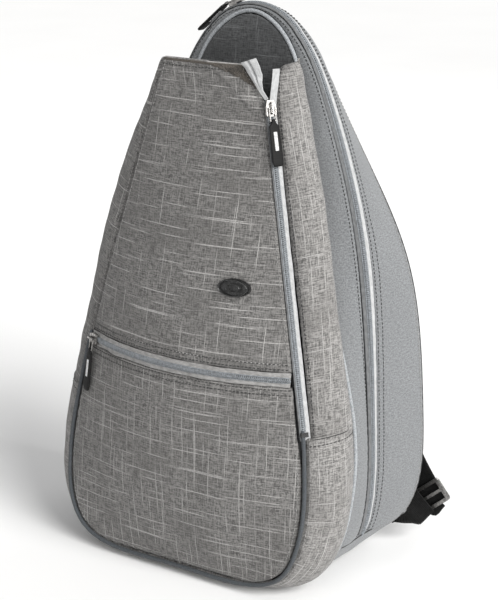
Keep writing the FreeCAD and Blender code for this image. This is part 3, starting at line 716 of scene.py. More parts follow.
def upper_relief(x, z, u, v, width):
    """How far the upper panel stands off its ideal surface."""
    from_left, from_right, from_zip = u, width - u, v
    seat = -1.1 * (np.exp(-from_left / 2.2) + np.exp(-from_right / 1.6) + np.exp(-from_zip / 1.8))
    hem = 0.7 * step(HEM_Z - 1.2, HEM_Z + 1.6, z) - 0.5 * np.exp(-((z - HEM_Z) / 1.6) ** 2)
    gathers = (puckers(v, from_left, 11, 0.5, 11.0, 9.0)
               + puckers(v, from_right, 17, 0.35, 9.0, 6.0)
               + puckers(u, from_zip, 23, 0.55, 12.0, 9.0))
    loose = step(300, MOUTH_Z, z)
    slack = (1.5 * loose * waves(x, z * 0.45, 95.0, 5)
             + 0.55 * waves(x, z, 42.0, 6) * (0.35 + loose))
    mouth = 1.1 * np.exp(-(MOUTH_Z - z) / 24.0) * waves(x, x * 0.1, 58.0, 8)
    held = step(0, 14, from_left) * step(0, 12, from_right) * step(0, 12, from_zip)
    return seat + hem + gathers + (slack + mouth) * held


def corner_crease(grid):
    """Presses the free corner in behind a slanting crease."""
    x, z = grid[..., 0], grid[..., 2]
    corner_x = float(open_edge(np.array(MOUTH_Z)))
    beyond = (x - (corner_x - FOLD_LENGTH)) / FOLD_LENGTH - (MOUTH_Z - z) / FOLD_DROP
    grid[..., 1] += 3.4 * step(0.0, 1.0, beyond) - 1.0 * np.exp(-(beyond / 0.12) ** 2)
    return grid


def make_upper_panel():
    z = np.linspace(POCKET_ZIP_Z + TAPE_HALF + OFF_TAPE, MOUTH_Z, 150)[:, None]
    share = np.linspace(0, 1, 120)[None, :]
    x = lerp(left_edge(z), open_edge(z), share)
    grid = front_point(x, z + 0 * x)
    u, v = arc_lengths(grid)
    relief = upper_relief(x, z, u, v, u[:, -1:])
    grid = grid + grid_normals(grid, -1.0) * relief[..., None]
    grid = corner_crease(grid)
    cloth_panel("racket_front_upper", grid, SLUB, ["racket_panel_upper"])
    return grid


def pocket_inset(z):
    s = np.linspace(1, FRONT.n, 600)
    nx = np.interp(z, FRONT.point(s)[:, 2], FRONT.normal(s)[:, 0])
    return np.minimum((PIPING_R + 3.5 * GAP) / nx, 24.0)


def pocket_right(z):
    beside_zip = curve([(100, 0.0), (170, 6.4), (MOUTH_Z, 6.4)])(z)
    return FRONT.half_at(z) - np.maximum(pocket_inset(z), beside_zip)


def make_pocket_panel():
    top = POCKET_ZIP_Z - TAPE_HALF - OFF_TAPE
    z = lerp(POCKET_FLOOR_Z, top, np.linspace(0, 1, 110) ** 1.4)[:, None]
    share = np.linspace(0, 1, 130)[None, :]
    x = lerp(pocket_inset(z) - FRONT.half_at(z), pocket_right(z), share)
    grid = front_point(x, z + 0 * x)
    u, v = arc_lengths(grid)
    to_edge = np.minimum(u, u[:, -1:] - u)
    to_floor, to_zip = v, v[-1:, :] - v
    seat = -1.2 * (np.exp(-to_edge / 2.0) + np.exp(-to_zip / 1.6) + np.exp(-to_floor / 2.0))
    gathers = (puckers(v, to_edge, 31, 0.5, 10.0, 8.0) + puckers(u, to_floor, 37, 0.6, 11.0, 10.0)
               + puckers(u, to_zip, 41, 0.5, 12.0, 8.0))
    held = step(0, 14, to_edge) * step(0, 14, to_zip) * step(0, 12, to_floor)
    slack = (1.1 * waves(x, z * 0.6, 80.0, 43) + 0.45 * waves(x, z, 36.0, 44)) * held
    grid = grid + grid_normals(grid, -1.0) * (seat + gathers + slack)[..., None]
    cloth_panel("pocket_front", grid, SLUB_POCKET, ["pocket_panel_lower"])
    return grid


def body_station(s):
    """Station on the body's outline that faces a station on the shorter front outline."""
    past = np.abs(s) - ARCH_S
    return np.where(past <= 0, s, np.copysign(ARCH_S + past * 0.53, s))


def side_grid(stations, v_lo, v_hi, columns=34, round_top=0.0):
    """Puffed strip between the front and the body outlines; round_top rounds the end
    that the stations finish on."""
    s = np.asarray(stations)[:, None]
    p, q = FRONT.point(s), BODY.point(body_station(s))
    out = unit(FRONT.normal(s) + BODY.normal(body_station(s)))
    puff = side_puff(p[..., 2])[..., None]
    width = np.linalg.norm(q - p, axis=-1, keepdims=True)
    share = np.linspace(0, 1, columns)[None, :, None]
    lo, hi = v_lo / width, 1 - v_hi / width
    if round_top:
        lo = lo + spread(p[..., 2:]) / width
        left = np.maximum(1 - (MOUTH_Z - p[..., 2:]) / round_top, 0)
        pinch = (1 - np.sqrt(np.maximum(1 - left ** 2, 0))) * 0.42
        lo, hi = lerp(lo, hi, pinch), lerp(hi, lo, pinch)
    swell = np.sin(math.pi * share ** 0.85) ** 0.8 * puff
    v = lo + (hi - lo) * share
    return p + (q - p) * v + out * swell


def soften(grid, seed, wave=10.0, height=0.45, slack=0.8, ends=True):
    """Seam-side gathers and slack for a strip whose columns run between two seams."""
    u, v = arc_lengths(grid)
    to_seam = np.minimum(u, u[:, -1:] - u)
    to_end = np.minimum(v, v[-1:, :] - v) if ends else 50.0 + 0 * v
    seat = -(np.exp(-to_seam / 1.8) + np.exp(-to_end / 1.8))
    held = step(0, 10, to_seam) * step(0, 12, to_end)
    relief = (seat + puckers(v, to_seam, seed, height, wave, 7.0)
              + slack * held * waves(u, v * 0.6, 60.0, seed + 2)
              + 0.4 * slack * held * waves(u, v, 30.0, seed + 3))
    return grid + grid_normals(grid, -1.0) * relief[..., None]


def spread(z):
    """How far the zip's gusset side has opened away from the zip's line, above the slider."""
    return 8.0 * step(SLIDER_Z - 6.0, MOUTH_Z + 6.0, np.asarray(z, float))


def turn_in(grid):
    """Drops the rear of a strip's top edge, where the left side folds into the mouth."""
    u, _ = arc_lengths(grid)
    near_top = np.clip(1 - (MOUTH_Z - grid[..., 2]) / 70.0, 0, 1)
    grid[..., 2] -= 0.5 * u * near_top
    return grid


def lap_over(grid, first, last, height=1.1, reach=3.5):
    """Raises the ends of a strip, where its folded edge laps over the next cloth."""
    _, v = arc_lengths(grid)
    to_first, to_last = v, v[-1:, :] - v
    rise = first * (1 - step(0, reach, to_first)) + last * (1 - step(0, reach, to_last))
    roll = first * np.exp(-to_first / 0.5) + last * np.exp(-to_last / 0.5)
    return grid + grid_normals(grid, -1.0) * (height * rise - 0.7 * roll)[..., None]


FRONT_SEAM, BODY_SEAM = 2.4, 2.6     # how far a gusset's cloth stops short of each outline


def make_racket_gussets():
    meet, lap, mouth_s = SEAM_S + 0.01, SEAM_S + 0.035, FRONT.n
    right = side_grid(np.linspace(meet, mouth_s, 150), 8.0, BODY_SEAM, round_top=13.0)
    right = soften(right, 51, 11.0, 0.5)
    left = side_grid(np.linspace(-mouth_s, -meet, 150), FRONT_SEAM, BODY_SEAM)
    left = turn_in(soften(left, 57, 11.0, 0.5))
    lower = side_grid(np.linspace(-lap, lap, 260), FRONT_SEAM, BODY_SEAM)
    lower = lap_over(soften(lower, 61, 12.0, 0.5, ends=False), 1.0, 1.0)
    lower[..., 2] = np.maximum(lower[..., 2], 0.05)
    # The right and lower gussets take the slub painted lighter for the light on that side; the left
    # gusset keeps the front's tone.
    for name, grid, cloth in (("right", right, SLUB_PAINTED_LIGHT), ("left", left, SLUB),
                              ("lower", lower, SLUB_PAINTED_LIGHT)):
        cloth_panel("racket_gusset_%s_cloth" % name, grid, cloth,
                    ["racket_gusset_" + name])
    return right, left, lower


def outline_plate(outline, plane_shift, inset, rows=150, columns=110, s_lo=0.9, s_hi=8.85):
    """Grid that fills an outline: each row joins the left flank to the right one."""
    s = np.linspace(s_lo, s_hi, rows)
    p, out = outline.point(s), outline.normal(s)
    x, z = p[:, 0] - out[:, 0] * inset, p[:, 2] - out[:, 2] * inset
    x = np.maximum(x, 1.5)
    keep = np.concatenate([[True], np.diff(z) > 0.05])
    x, z = x[keep], z[keep]
    share = np.linspace(-1, 1, columns)[None, :]
    z = np.broadcast_to(z[:, None], (len(z), columns))
    y = outline.plane[0] + outline.plane[1] * z + plane_shift
    return np.stack([x[:, None] * share, y, z], -1)


def make_body_front():
    grid = outline_plate(BODY, -CLOTH / 2, 2.6)
    x, z = grid[..., 0], grid[..., 2]
    edge = np.abs(np.linspace(-1, 1, grid.shape[1]))[None, :]
    soft = step(0, 0.12, 1 - edge)
    grid[..., 1] -= soft * (1.0 + 1.3 * waves(x, z, 85.0, 71) + 0.4 * waves(x, z, 30.0, 72))
    # Darker slub for the front seen in the notch, partly painted shade of the notch.
    cloth_panel("main_front_cloth", grid, SLUB_DARK_AND_SHADED, ["main_front_panel"])


def make_pocket_lining():
    z = np.linspace(14, POCKET_ZIP_Z + 8, 60)[:, None]
    x = (FRONT.half_at(z) - 6.0 - 8.0 * np.exp(-(z - 14) / 9.0)) * np.linspace(-1, 1, 60)[None, :]
    grid = np.stack([x, front_y(z) + 2.8 + 0.3 * waves(x, z, 50.0, 75), z + 0 * x], -1)
    cloth_panel("pocket_lining", grid, LINING, ["pocket_back_panel"], depth=1.4)


upper_grid = make_upper_panel()
pocket_grid = make_pocket_panel()
right_gusset, left_gusset, lower_gusset = make_racket_gussets()
make_body_front()
make_pocket_lining()


def on_grid(grid, rows, cols):
    """Points and outward normals of a grid at fractional row and column indices."""
    normals = grid_normals(grid, -1.0)
    r = np.clip(np.asarray(rows, float), 0, grid.shape[0] - 1.001)
    c = np.clip(np.asarray(cols, float), 0, grid.shape[1] - 1.001)
    r, c = np.broadcast_arrays(r, c)
    i, j = r.astype(int), c.astype(int)
    f, g = (r - i)[:, None], (c - j)[:, None]

    def read(a):
        return ((a[i, j] * (1 - g) + a[i, j + 1] * g) * (1 - f)
                + (a[i + 1, j] * (1 - g) + a[i + 1, j + 1] * g) * f)
    return read(grid), unit(read(normals))


def seam_line(grid, side, inset, trim=2.0):
    """Line on a grid that keeps a distance, in millimetres, from one of its edges: side is
    left, right, bottom or top."""
    u, v = arc_lengths(grid)
    rows, cols = grid.shape[:2]
    if side in ("left", "right"):
        r = np.arange(rows)
        wanted = np.full(rows, inset) if side == "left" else u[:, -1] - inset
        c = np.array([np.interp(w, u[i], np.arange(cols)) for i, w in enumerate(wanted)])
        length = v[:, cols // 2]
    else:
        c = np.arange(cols)
        wanted = np.full(cols, inset) if side == "bottom" else v[-1] - inset
        r = np.array([np.interp(w, v[:, j], np.arange(rows)) for j, w in enumerate(wanted)])
        length = u[rows // 2]
    keep = (length > trim) & (length < length[-1] - trim)
    return on_grid(grid, r[keep], c[keep])


def sew(name, grid, side, inset, thread=DARK_THREAD, trim=2.0):
    """Row of stitches on the bag, along one edge of a grid."""
    path, out = seam_line(grid, side, inset, trim)
    stitches(name, path, out, thread=thread)


def fold_line(name, grid, side, radius=0.45):
    """Dark cord of shadow and thread where a folded edge meets the next cloth."""
    path, out = seam_line(grid, side, 0.25, 0.0)
    dress(tube(name, path - out * 0.2, out, radius, 8), DARK_THREAD)


fold_line("lower_gusset_fold_right", lower_gusset, "top")
fold_line("lower_gusset_fold_left", lower_gusset, "bottom")
sew("hem_stitches", upper_grid, "top", 6.0)
for k, inset in enumerate((2.6, 7.0)):
    sew("pocket_zip_stitches_above_%d" % k, upper_grid, "bottom", inset)
    sew("pocket_zip_stitches_below_%d" % k, pocket_grid, "top", inset)
sew("upper_left_stitches", upper_grid, "left", 3.0, GREY_THREAD)
sew("upper_right_stitches", upper_grid, "right", 2.6, GREY_THREAD)
sew("pocket_edge_stitches_left", pocket_grid, "left", 3.0, GREY_THREAD, 14.0)
sew("pocket_edge_stitches_right", pocket_grid, "right", 3.0, GREY_THREAD, 14.0)
sew("racket_gusset_zip_stitches", right_gusset, "left", 3.4)
sew("racket_gusset_rear_stitches", right_gusset, "right", 3.0, GREY_THREAD)
sew("lower_gusset_seam_stitches_right", lower_gusset, "top", 6.0)
sew("lower_gusset_seam_stitches_left", lower_gusset, "bottom", 6.0)
sew("left_gusset_front_stitches", left_gusset, "left", 3.0, GREY_THREAD)
sew("left_gusset_rear_stitches", left_gusset, "right", 3.0, GREY_THREAD)
sew("lower_gusset_front_stitches", lower_gusset, "left", 3.0, GREY_THREAD)
sew("lower_gusset_rear_stitches", lower_gusset, "right", 3.0, GREY_THREAD)


# ---------------------------------------------------------------- main compartment
ZIP_AXIS = unit(vec(0, 1, -ZIP_PLANE[1]))
REAR_WRAP = vec(0, 3.0, 0)       # how far the rear cloth wraps round the back panel's edge


def on_arch(s):
    return np.clip((np.abs(s) - ARCH_S) * 1.2, 0, 1)[..., None]


def zip_across(s):
    """Direction across the main zip's tape, to the rear."""
    p = ZIP.point(s)
    d = unit(unit(p - BODY.point(s)) + unit(BACK.point(s) - p))
    return unit(lerp(d, ZIP_AXIS, on_arch(s)))


def swelling_strip(start, end, out, swell, columns):
    t = np.linspace(0, 1, columns)[None, :, None]
    return start + (end - start) * t + out * swell * np.sin(math.pi * t)


def front_strip(s, columns=30):
    s = np.asarray(s)[:, None]
    tuck = ZIP.normal(s) * (TAPE_T + 2 * GAP) * on_arch(s)
    p, q = BODY.point(s), ZIP.point(s) - zip_across(s) * (TAPE_HALF + 2 * GAP) - tuck
    out = unit(BODY.normal(s) + ZIP.normal(s))
    start = p + unit(q - p) * (PIPING_R + GAP)
    swell = 0.05 * np.linalg.norm(q - p, axis=-1, keepdims=True)
    return swelling_strip(start, q, out, swell, columns)


def rear_strip(s, columns=30):
    s = np.asarray(s)[:, None]
    p, q = ZIP.point(s) + zip_across(s) * (TAPE_HALF + GAP), BACK.point(s) + REAR_WRAP
    out = unit(BACK.normal(s) + ZIP.normal(s))
    return swelling_strip(p, q - unit(q - p) * GAP, out, 3.0, columns)


def corner_strip(s, columns=40):
    s = np.asarray(s)[:, None]
    p, q = BODY.point(s), BACK.point(s) + REAR_WRAP
    out = unit(BODY.normal(s) + BACK.normal(s))
    near_zip = step(ZIP_END_S - 0.9, ZIP_END_S - 0.1, np.abs(s))[..., None]
    grid = swelling_strip(p + unit(q - p) * (PIPING_R + GAP), q - unit(q - p) * GAP, out,
                          4.0 * (1 - near_zip), columns)
    reach = ZIP.point(s) - p
    share = (np.linalg.norm(reach, axis=-1, keepdims=True)
             / np.linalg.norm(q - p, axis=-1, keepdims=True))
    bend = reach - (q - p) * share
    t = np.linspace(0, 1, columns)[None, :, None]
    profile = np.minimum(t / share, (1 - t) / (1 - share))
    grid = grid + bend * np.sin(profile * math.pi / 2) * near_zip
    grid[..., 2] = np.maximum(grid[..., 2], 0.1)
    return grid


def over_top(rows):
    """Stations from the right zip end, over the top, to the left zip end."""
    right = np.linspace(ZIP_END_S, TOP_S, rows)
    return np.concatenate([right, -right[::-1][1:]])


def make_main_gussets():
    s = over_top(300)
    front = soften(front_strip(s), 81, 9.0, 0.3, 0.7)
    rear = soften(rear_strip(s), 87, 9.0, 0.3, 0.9)
    for name, grid in (("main_gusset_front", front), ("main_gusset_rear", rear)):
        cloth_panel(name + "_cloth", grid, HEATHER, [name])
    corner = np.linspace(BASE_S, ZIP_END_S + 0.045, 60)
    for side, stations in (("right", corner), ("left", -corner[::-1])):
        grid = soften(corner_strip(stations), 91, 10.0, 0.3, 0.7, ends=False)
        grid = lap_over(grid, float(side == "left"), float(side == "right"), 1.6, 5.0)
        grid[..., 2] = np.maximum(grid[..., 2], 0.05)
        cloth_panel("base_corner_%s_cloth" % side, grid, HEATHER,
                    ["base_corner_" + side])
        fold_line("base_corner_%s_fold" % side, grid, "top" if side == "right" else "bottom", 0.6)
    return front, rear


def make_base():
    x0, x1 = BODY.point(BASE_S)[0] - 0.6, BACK.point(BASE_S)[0] - 0.6
    y_front, y_rear = -34, 74
    y = np.linspace(y_front, y_rear, 60)[:, None]
    share = np.linspace(-1, 1, 90)[None, :]
    x = lerp(x0, x1, (y - y_front) / (y_rear - y_front)) * share
    z = 0.35 * np.clip(waves(x, y, 50.0, 95), 0, 1) + 0 * x
    grid = np.stack([x, y + 0 * x, z], -1)
    cloth_panel("base_cloth", grid, WEBBING, ["base_panel", "base_board"],
                flip=1.0)


main_front_strip, main_rear_strip = make_main_gussets()
make_base()
sew("main_front_zip_stitches", main_front_strip, "right", 2.6)
sew("main_rear_zip_stitches_0", main_rear_strip, "left", 2.6)
sew("main_rear_zip_stitches_1", main_rear_strip, "left", 7.4)
sew("main_rear_back_stitches", main_rear_strip, "right", 4.0, GREY_THREAD)


# ---------------------------------------------------------------- zips
TOOTH_PITCH, TOOTH_R = 1.75, 0.62
SPLIT = 0.2                      # half the gap between the two tapes of a closed zip


def tape_band(name, points, across, out, lo, hi, seed, node=None, ripple=0.25, material=TAPE):
    """One woven zip tape along a line, with a raised cord along its toothed edge."""
    t = np.linspace(0, 1, 9)[None, :]
    side = lo + (hi - lo) * t
    bead = 0.35 * np.exp(-((np.abs(side) - COIL_HALF) / 0.9) ** 2)
    from_coil = np.abs(t - (0 if abs(lo) < abs(hi) else 1))
    wrinkle = ripple * waves(run_length(points)[:, None], side * 2.0, 26.0, seed) * from_coil
    grid = sweep(points, (across, side), (out, bead + wrinkle))
    flip = np.sign(np.sum(grid_normals(grid)[len(points) // 2, 4] * out[len(points) // 2]))
    piece = shell(name, grid, depth=TAPE_T, flip=flip, rim=0.3)
    dress(piece, material, replaces=[node] if node else ())


def teeth(name, points, across, out, node):
    """Two rows of slanted coil teeth that mesh along a zip's line."""
    points, across, out = resample(points, TOOTH_PITCH / 2, across, out)
    across, out = unit(across), unit(out)
    along = tangents(points)
    sign = np.where(np.arange(len(points)) % 2 == 0, -1.0, 1.0)[:, None]
    lean = along * 0.42
    inner = points - across * sign * 0.9 + out * 1.0 + lean
    outer = points + across * sign * (COIL_HALF - 0.5) + out * 0.75 - lean
    piece = capsules(name, outer, inner, out, TOOTH_R, arch=0.45, rings=4)
    dress(piece, COIL, replaces=[node])
    for letter, side in (("a", -1), ("b", 1)):
        core = points + across * side * (COIL_HALF - 0.7) + out * 0.35
        dress(tube("%s_cord_%s" % (name, letter), core[::2], out[::2], 0.6, 8), COIL)


def make_main_zip():
    s = over_top(420)
    p, a = ZIP.point(s), zip_across(s)
    o = unit(np.cross(a, tangents(p)))
    o *= np.sign(np.sum(o * ZIP.normal(s), -1, keepdims=True))
    tape_band("main_tape_front", p, a, o, -TAPE_HALF, -SPLIT, 101, "main_zip_tape", 0.2, TAPE_SHADED)
    tape_band("main_tape_rear", p, a, o, SPLIT, TAPE_HALF, 103, None, 0.2)
    teeth("main_teeth", p, a, o, "main_zip_coil")


def pocket_zip_frame(x):
    """Points, across and outward directions along the pocket's zip."""
    half = float(FRONT.half_at(POCKET_ZIP_Z))
    radius = (half ** 2 + BULGE_AT_ZIP ** 2) / (2 * BULGE_AT_ZIP)
    y = front_y(POCKET_ZIP_Z) - BULGE_AT_ZIP + radius
    turn = np.arcsin(x / radius)
    p = np.stack([x, y - radius * np.cos(turn), np.full_like(x, POCKET_ZIP_Z)], -1)
    out = np.stack([np.sin(turn), -np.cos(turn), 0 * x], -1)
    up = np.broadcast_to(vec(0, FRONT_PLANE[1], 1), p.shape)
    return p, unit(up), out


def make_pocket_zip():
    half = float(FRONT.half_at(POCKET_ZIP_Z))
    x = np.linspace(ZIP_INSET - half, zip_x(POCKET_ZIP_Z) - ZIP_INSET - 2.0, 160)
    p, a, o = pocket_zip_frame(x)
    tape_band("pocket_tape_lower", p, a, o, -TAPE_HALF, -SPLIT, 111, "pocket_zip_tape", 1.0,
              TAPE_DULL)
    tape_band("pocket_tape_upper", p, a, o, SPLIT, TAPE_HALF, 113, None, 1.0, TAPE_DULL)
    teeth("pocket_teeth", p, a, o, "pocket_zip_coil")


def racket_zip_point(z):
    z = np.asarray(z, float)
    return np.stack([zip_x(z), front_y(z), z], -1)


RZ_ALONG = unit(racket_zip_point(RZ_LOW) - racket_zip_point(MOUTH_Z))
RZ_ACROSS = vec(0.47, 0.883, 0)
RZ_ACROSS = unit(RZ_ACROSS - RZ_ALONG * (RZ_ACROSS @ RZ_ALONG))
RZ_OUT = unit(np.cross(RZ_ALONG, RZ_ACROSS))
RZ_OUT = RZ_OUT * (-1 if RZ_OUT[1] > 0 else 1)
TAPE_TOP = 0.4 - RZ_SINK


def along_racket_zip(z):
    p = racket_zip_point(z) + RZ_OUT * TAPE_TOP
    return p, np.broadcast_to(RZ_ACROSS, p.shape), np.broadcast_to(RZ_OUT, p.shape)


def make_free_tape():
    """The loose end of the tape, folded along its middle and standing up at the corner."""
    corner = front_point(float(open_edge(np.array(MOUTH_Z))), MOUTH_Z)
    start = racket_zip_point(SLIDER_Z) - RZ_ALONG * 7.6 + RZ_OUT * TAPE_TOP
    t = np.linspace(0, 1, 80)
    left = lerp(start + RZ_ACROSS * -3.4, corner + vec(-0.6, -0.2, 2.2), t[:, None])
    left = left + vec(-0.6, 0, 0.4) * np.sin(t * math.pi)[:, None]
    width = np.interp(t, [0, 0.22, 0.4, 0.58, 0.8, 1], [3.0, 3.3, 6.6, 11.2, 13.2, 14.2])
    share = np.linspace(0, 1, 30)[None, :]
    grid = left[:, None] + unit(vec(0.92, 0.15, 0.33)) * (width[:, None] * share)[..., None]
    fold = -2.4 * np.exp(-((share - 0.46) / 0.10) ** 2) + 1.2 * np.sin(share * math.pi)
    crumple = 0.7 * waves(share * 12, t[:, None] * 30, 8.0, 121)
    grid[..., 1] -= (fold + crumple) * step(0.2, 0.6, t)[:, None]
    piece = shell("racket_tape_free_end", grid, depth=TAPE_T * 0.9, flip=-1.0)
    dress(piece, TAPE, replaces=["racket_zip_free_tape"])


def make_racket_zip():
    foot = RZ_LOW - 7.0
    p, a, o = along_racket_zip(np.linspace(foot, SLIDER_Z + 6.0, 200))
    tape_band("racket_tape_panel", p, a, o, -3.8, -SPLIT, 115, "racket_zip_tape_panel_side", 0.15,
              TAPE_SHADED)
    z = np.linspace(foot, MOUTH_Z - 1.0, 220)
    p, a, o = along_racket_zip(z)
    p = p + RZ_ACROSS * spread(z)[:, None]
    tape_band("racket_tape_gusset", p, a, o, SPLIT, 6.6, 117, "racket_zip_tape_gusset_side", 0.3)
    p, a, o = along_racket_zip(np.linspace(RZ_LOW, SLIDER_Z - 2, 200))
    teeth("racket_teeth", p, a, o, "racket_zip_coil")
    make_free_tape()


def make_fold_shades():
    """Painted shade of the pressed-in corner: a dark triangle laid on the panel under the hem, and a
    dark strip of painted shade along the hem band at the panel's top edge.
    """
    rows, cols = upper_grid.shape[:2]
    u, v = arc_lengths(upper_grid)
    levels = np.linspace(0, FOLD_DROP, 26)
    grid = []
    for down in levels:
        row = int(np.interp(v[-1, -1] - down - 0.6, v[:, -1], np.arange(rows)))
        reach = FOLD_LENGTH * (1 - down / FOLD_DROP) ** 1.4 + 0.6
        c = np.interp(u[row, -1] - np.linspace(reach, 0.4, 30), u[row], np.arange(cols))
        p, n = on_grid(upper_grid, np.full(30, float(row)), c)
        grid.append(p + n * 0.55)
    grid = np.array(grid)[::-1]
    # Dark triangle of painted shade in the pressed-in corner.
    piece = shell("corner_painted_shade", grid, depth=0.5, flip=-1.0, rim=0.2)
    dress(piece, FOLD_PAINTED_SHADE)
    edge = np.linspace(0, 1, 160)
    rows_up = np.interp(v[-1, -1] - np.array([3.2, 2.0, 0.9, 0.3]), v[:, -1], np.arange(rows))
    strip = []
    for lift, row in zip((0.15, 0.5, 0.5, 0.2), rows_up):
        p, n = on_grid(upper_grid, np.full(160, row), 1 + edge * (cols - 3))
        strip.append(p + n * lift)
    # Dark strip of painted shade along the hem band at the top edge.
    piece = shell("hem_painted_shade", np.array(strip), depth=0.4, flip=-1.0, rim=0.15)
    dress(piece, FOLD_PAINTED_SHADE)


make_main_zip()
make_pocket_zip()
make_racket_zip()
make_fold_shades()


# ---------------------------------------------------------------- piping
PIPING_SPACING, CORD_R = 1.6, 1.9


def make_piping(name, outline, lo, hi, material, seed):
    s = np.linspace(lo, hi, 1400)
    s = np.where(s > TOP_S, s - 2 * TOP_S, s)
    path, out = resample(outline.point(s), PIPING_SPACING, outline.normal(s))
    length = np.arange(len(path)) * PIPING_SPACING
    wobble = 0.22 * waves(length, length * 0, 40.0, seed)[:, None]
    piece = tube(name, path + unit(out) * wobble, out,
                 CORD_R * (1 + 0.05 * waves(length, length * 0, 9.0, seed + 1)), 14)
    dress(piece, material, replaces=[name.replace("_cord", "")])


make_piping("pocket_piping_cord", FRONT, -4.5, SEAM_S + 0.12, DARK_PIPING, 131)
make_piping("body_piping_cord", BODY, 0.0, 2 * TOP_S, SILVER_PIPING, 133)


# ---------------------------------------------------------------- padded pieces
def puff_up(piece, voxel_mm=4.0, pressure=4.0, cap_mm=0.9, frames=10):
    """Swells a closed piece by a short cloth simulation, and keeps the result."""
    scene = bpy.context.scene
    rest = piece.data
    remesh = piece.modifiers.new("remesh", "REMESH")
    remesh.mode, remesh.voxel_size = "VOXEL", voxel_mm * MM
    depsgraph = bpy.context.evaluated_depsgraph_get()
    piece.data = bpy.data.meshes.new_from_object(piece.evaluated_get(depsgraph))
    piece.modifiers.clear()
    start = np.array([v.co for v in piece.data.vertices])
    cloth = piece.modifiers.new("cloth", "CLOTH")
    cloth.settings.use_pressure = True
    cloth.settings.uniform_pressure_force = pressure
    cloth.settings.effector_weights.gravity = 0.0
    cloth.settings.quality = 5
    cloth.point_cache.frame_start, cloth.point_cache.frame_end = 1, frames
    for frame_number in range(1, frames + 1):
        scene.frame_set(frame_number)
    depsgraph = bpy.context.evaluated_depsgraph_get()
    swollen = bpy.data.meshes.new_from_object(piece.evaluated_get(depsgraph))
    piece.modifiers.clear()
    scene.frame_set(1)
    moved = np.array([v.co for v in swollen.vertices]) - start
    far = np.linalg.norm(moved, axis=1, keepdims=True)
    moved *= np.minimum(1.0, cap_mm * MM / np.maximum(far, 1e-9))
    swollen.vertices.foreach_set("co", (start + moved).astype(np.float32).ravel())
    piece.data = swollen
    bpy.data.meshes.remove(rest)
    piece.data.shade_smooth()
    smooth = piece.modifiers.new("smooth", "SUBSURF")
    smooth.levels = smooth.render_levels = 1


def loft(name, path, side, out, widths, heights, around=28, roundness=2.6):
    """Closed pillow-like tube whose cross-section is a rounded box, widths by heights."""
    angle = np.linspace(0, 2 * math.pi, around, endpoint=False)
    c, s = np.cos(angle), np.sin(angle)
    a = np.sign(c) * np.abs(c) ** (2 / roundness)
    b = np.sign(s) * np.abs(s) ** (2 / roundness)
    grid = sweep(path, (side, a * widths[:, None] / 2), (out, b * heights[:, None] / 2))
    uvs = np.stack(np.broadcast_arrays(a[None, :] * widths[:, None] / 2,
                                       np.linspace(0, 300, len(path))[:, None]), -1)
    return make_object(name, grid.reshape(-1, 3), tube_faces(len(path), around),
                       uvs.reshape(-1, 2))


def two_sided(piece, outer, inner):
    """Outer cloth where a piece faces the rear, and the inner cloth elsewhere."""
    piece.data.materials.clear()
    piece.data.materials.append(inner)
    piece.data.materials.append(outer)
    for face in piece.data.polygons:
        face.material_index = 1 if face.normal.y > -0.5 else 0


def ribbon_frame(points, across, samples):
    """Path, side and outward directions of a band along a smooth curve of points."""
    path = spline(points)(np.linspace(0, len(points) - 1, samples))
    along = tangents(path)
    f = np.linspace(0, 1, samples)
    if callable(across):
        side = np.array([across(x) for x in f])
    else:
        side = np.broadcast_to(across, path.shape)
    side = unit(side - along * np.sum(side * along, -1, keepdims=True))
    return path, side, unit(np.cross(side, along))


def band(name, points, across, width, depth, samples, sag=0.0):
    """Flat webbing along a curve, with slightly raised edges."""
    columns = 13
    path, side, out = ribbon_frame(points, across, samples)
    k = np.linspace(-1, 1, columns)
    width = np.broadcast_to(width, samples)
    edge = 0.22 * np.abs(k) ** 6 - sag * (1 - k * k)
    grid = sweep(path, (side, k * width[:, None] / 2), (out, depth / 2 + edge))
    n = grid_normals(grid)
    flip = np.sign(np.sum(n[samples // 2, columns // 2] * out[samples // 2]))
    piece = shell(name, grid, depth=depth, flip=flip, rim=0.4)
    piece.data.materials.append(WEBBING)
    return piece


def webbing(name, points, across, width, depth, samples, body="bag", replaces=(), sag=0.0):
    """Webbing that rides on one body."""
    piece = band(name, points, across, width, depth, samples, sag)
    dress(piece, WEBBING, body, replaces)


def box_stitch(name, centre, right, up, width, height, out, body="bag", thread=DARK_THREAD):
    """Box of stitches with a cross in it, as on a load-bearing webbing end."""
    right, up, out = unit(right), unit(up), unit(out)
    corners = [centre + right * a * width / 2 + up * b * height / 2
               for a, b in ((-1, -1), (1, -1), (1, 1), (-1, 1))]
    lines = list(zip(corners, corners[1:] + corners[:1])) + [(corners[0], corners[2]),
                                                             (corners[1], corners[3])]
    starts, ends = [], []
    for p, q in lines:
        count = max(int(np.linalg.norm(q - p) / STITCH_PITCH), 2)
        for i in range(count):
            starts.append(lerp(p, q, (i + 0.14) / count))
            ends.append(lerp(p, q, (i + 0.86) / count))
    outs = np.broadcast_to(out, (len(starts), 3))
    dress(capsules(name, starts, ends, outs, STITCH_R, arch=0.3), thread, body)


# ---------------------------------------------------------------- back
CHANNEL_PITCH = 68               # height from one channel across the pads to the next
PAD_FLOOR, PAD_TOP = 52, 392     # levels where the foam pads start and end
SPINE_X = 16.0                   # stitch lines beside the central air gap


def back_pads(x, z, half):
    """Height of the foam pads: two columns cut by channels, round a central air gap."""
    across = step(12, 24, np.abs(x)) * step(10, 24, half - np.abs(x))
    upright = step(34, 50, z) * (1 - step(PAD_TOP, 410, z))
    channel = np.abs(((z - PAD_FLOOR) % CHANNEL_PITCH) - CHANNEL_PITCH / 2)
    slots = step(0.0, 1.0, (CHANNEL_PITCH / 2 - channel) / 7.0)
    return across * upright * (0.18 + 0.82 * slots)


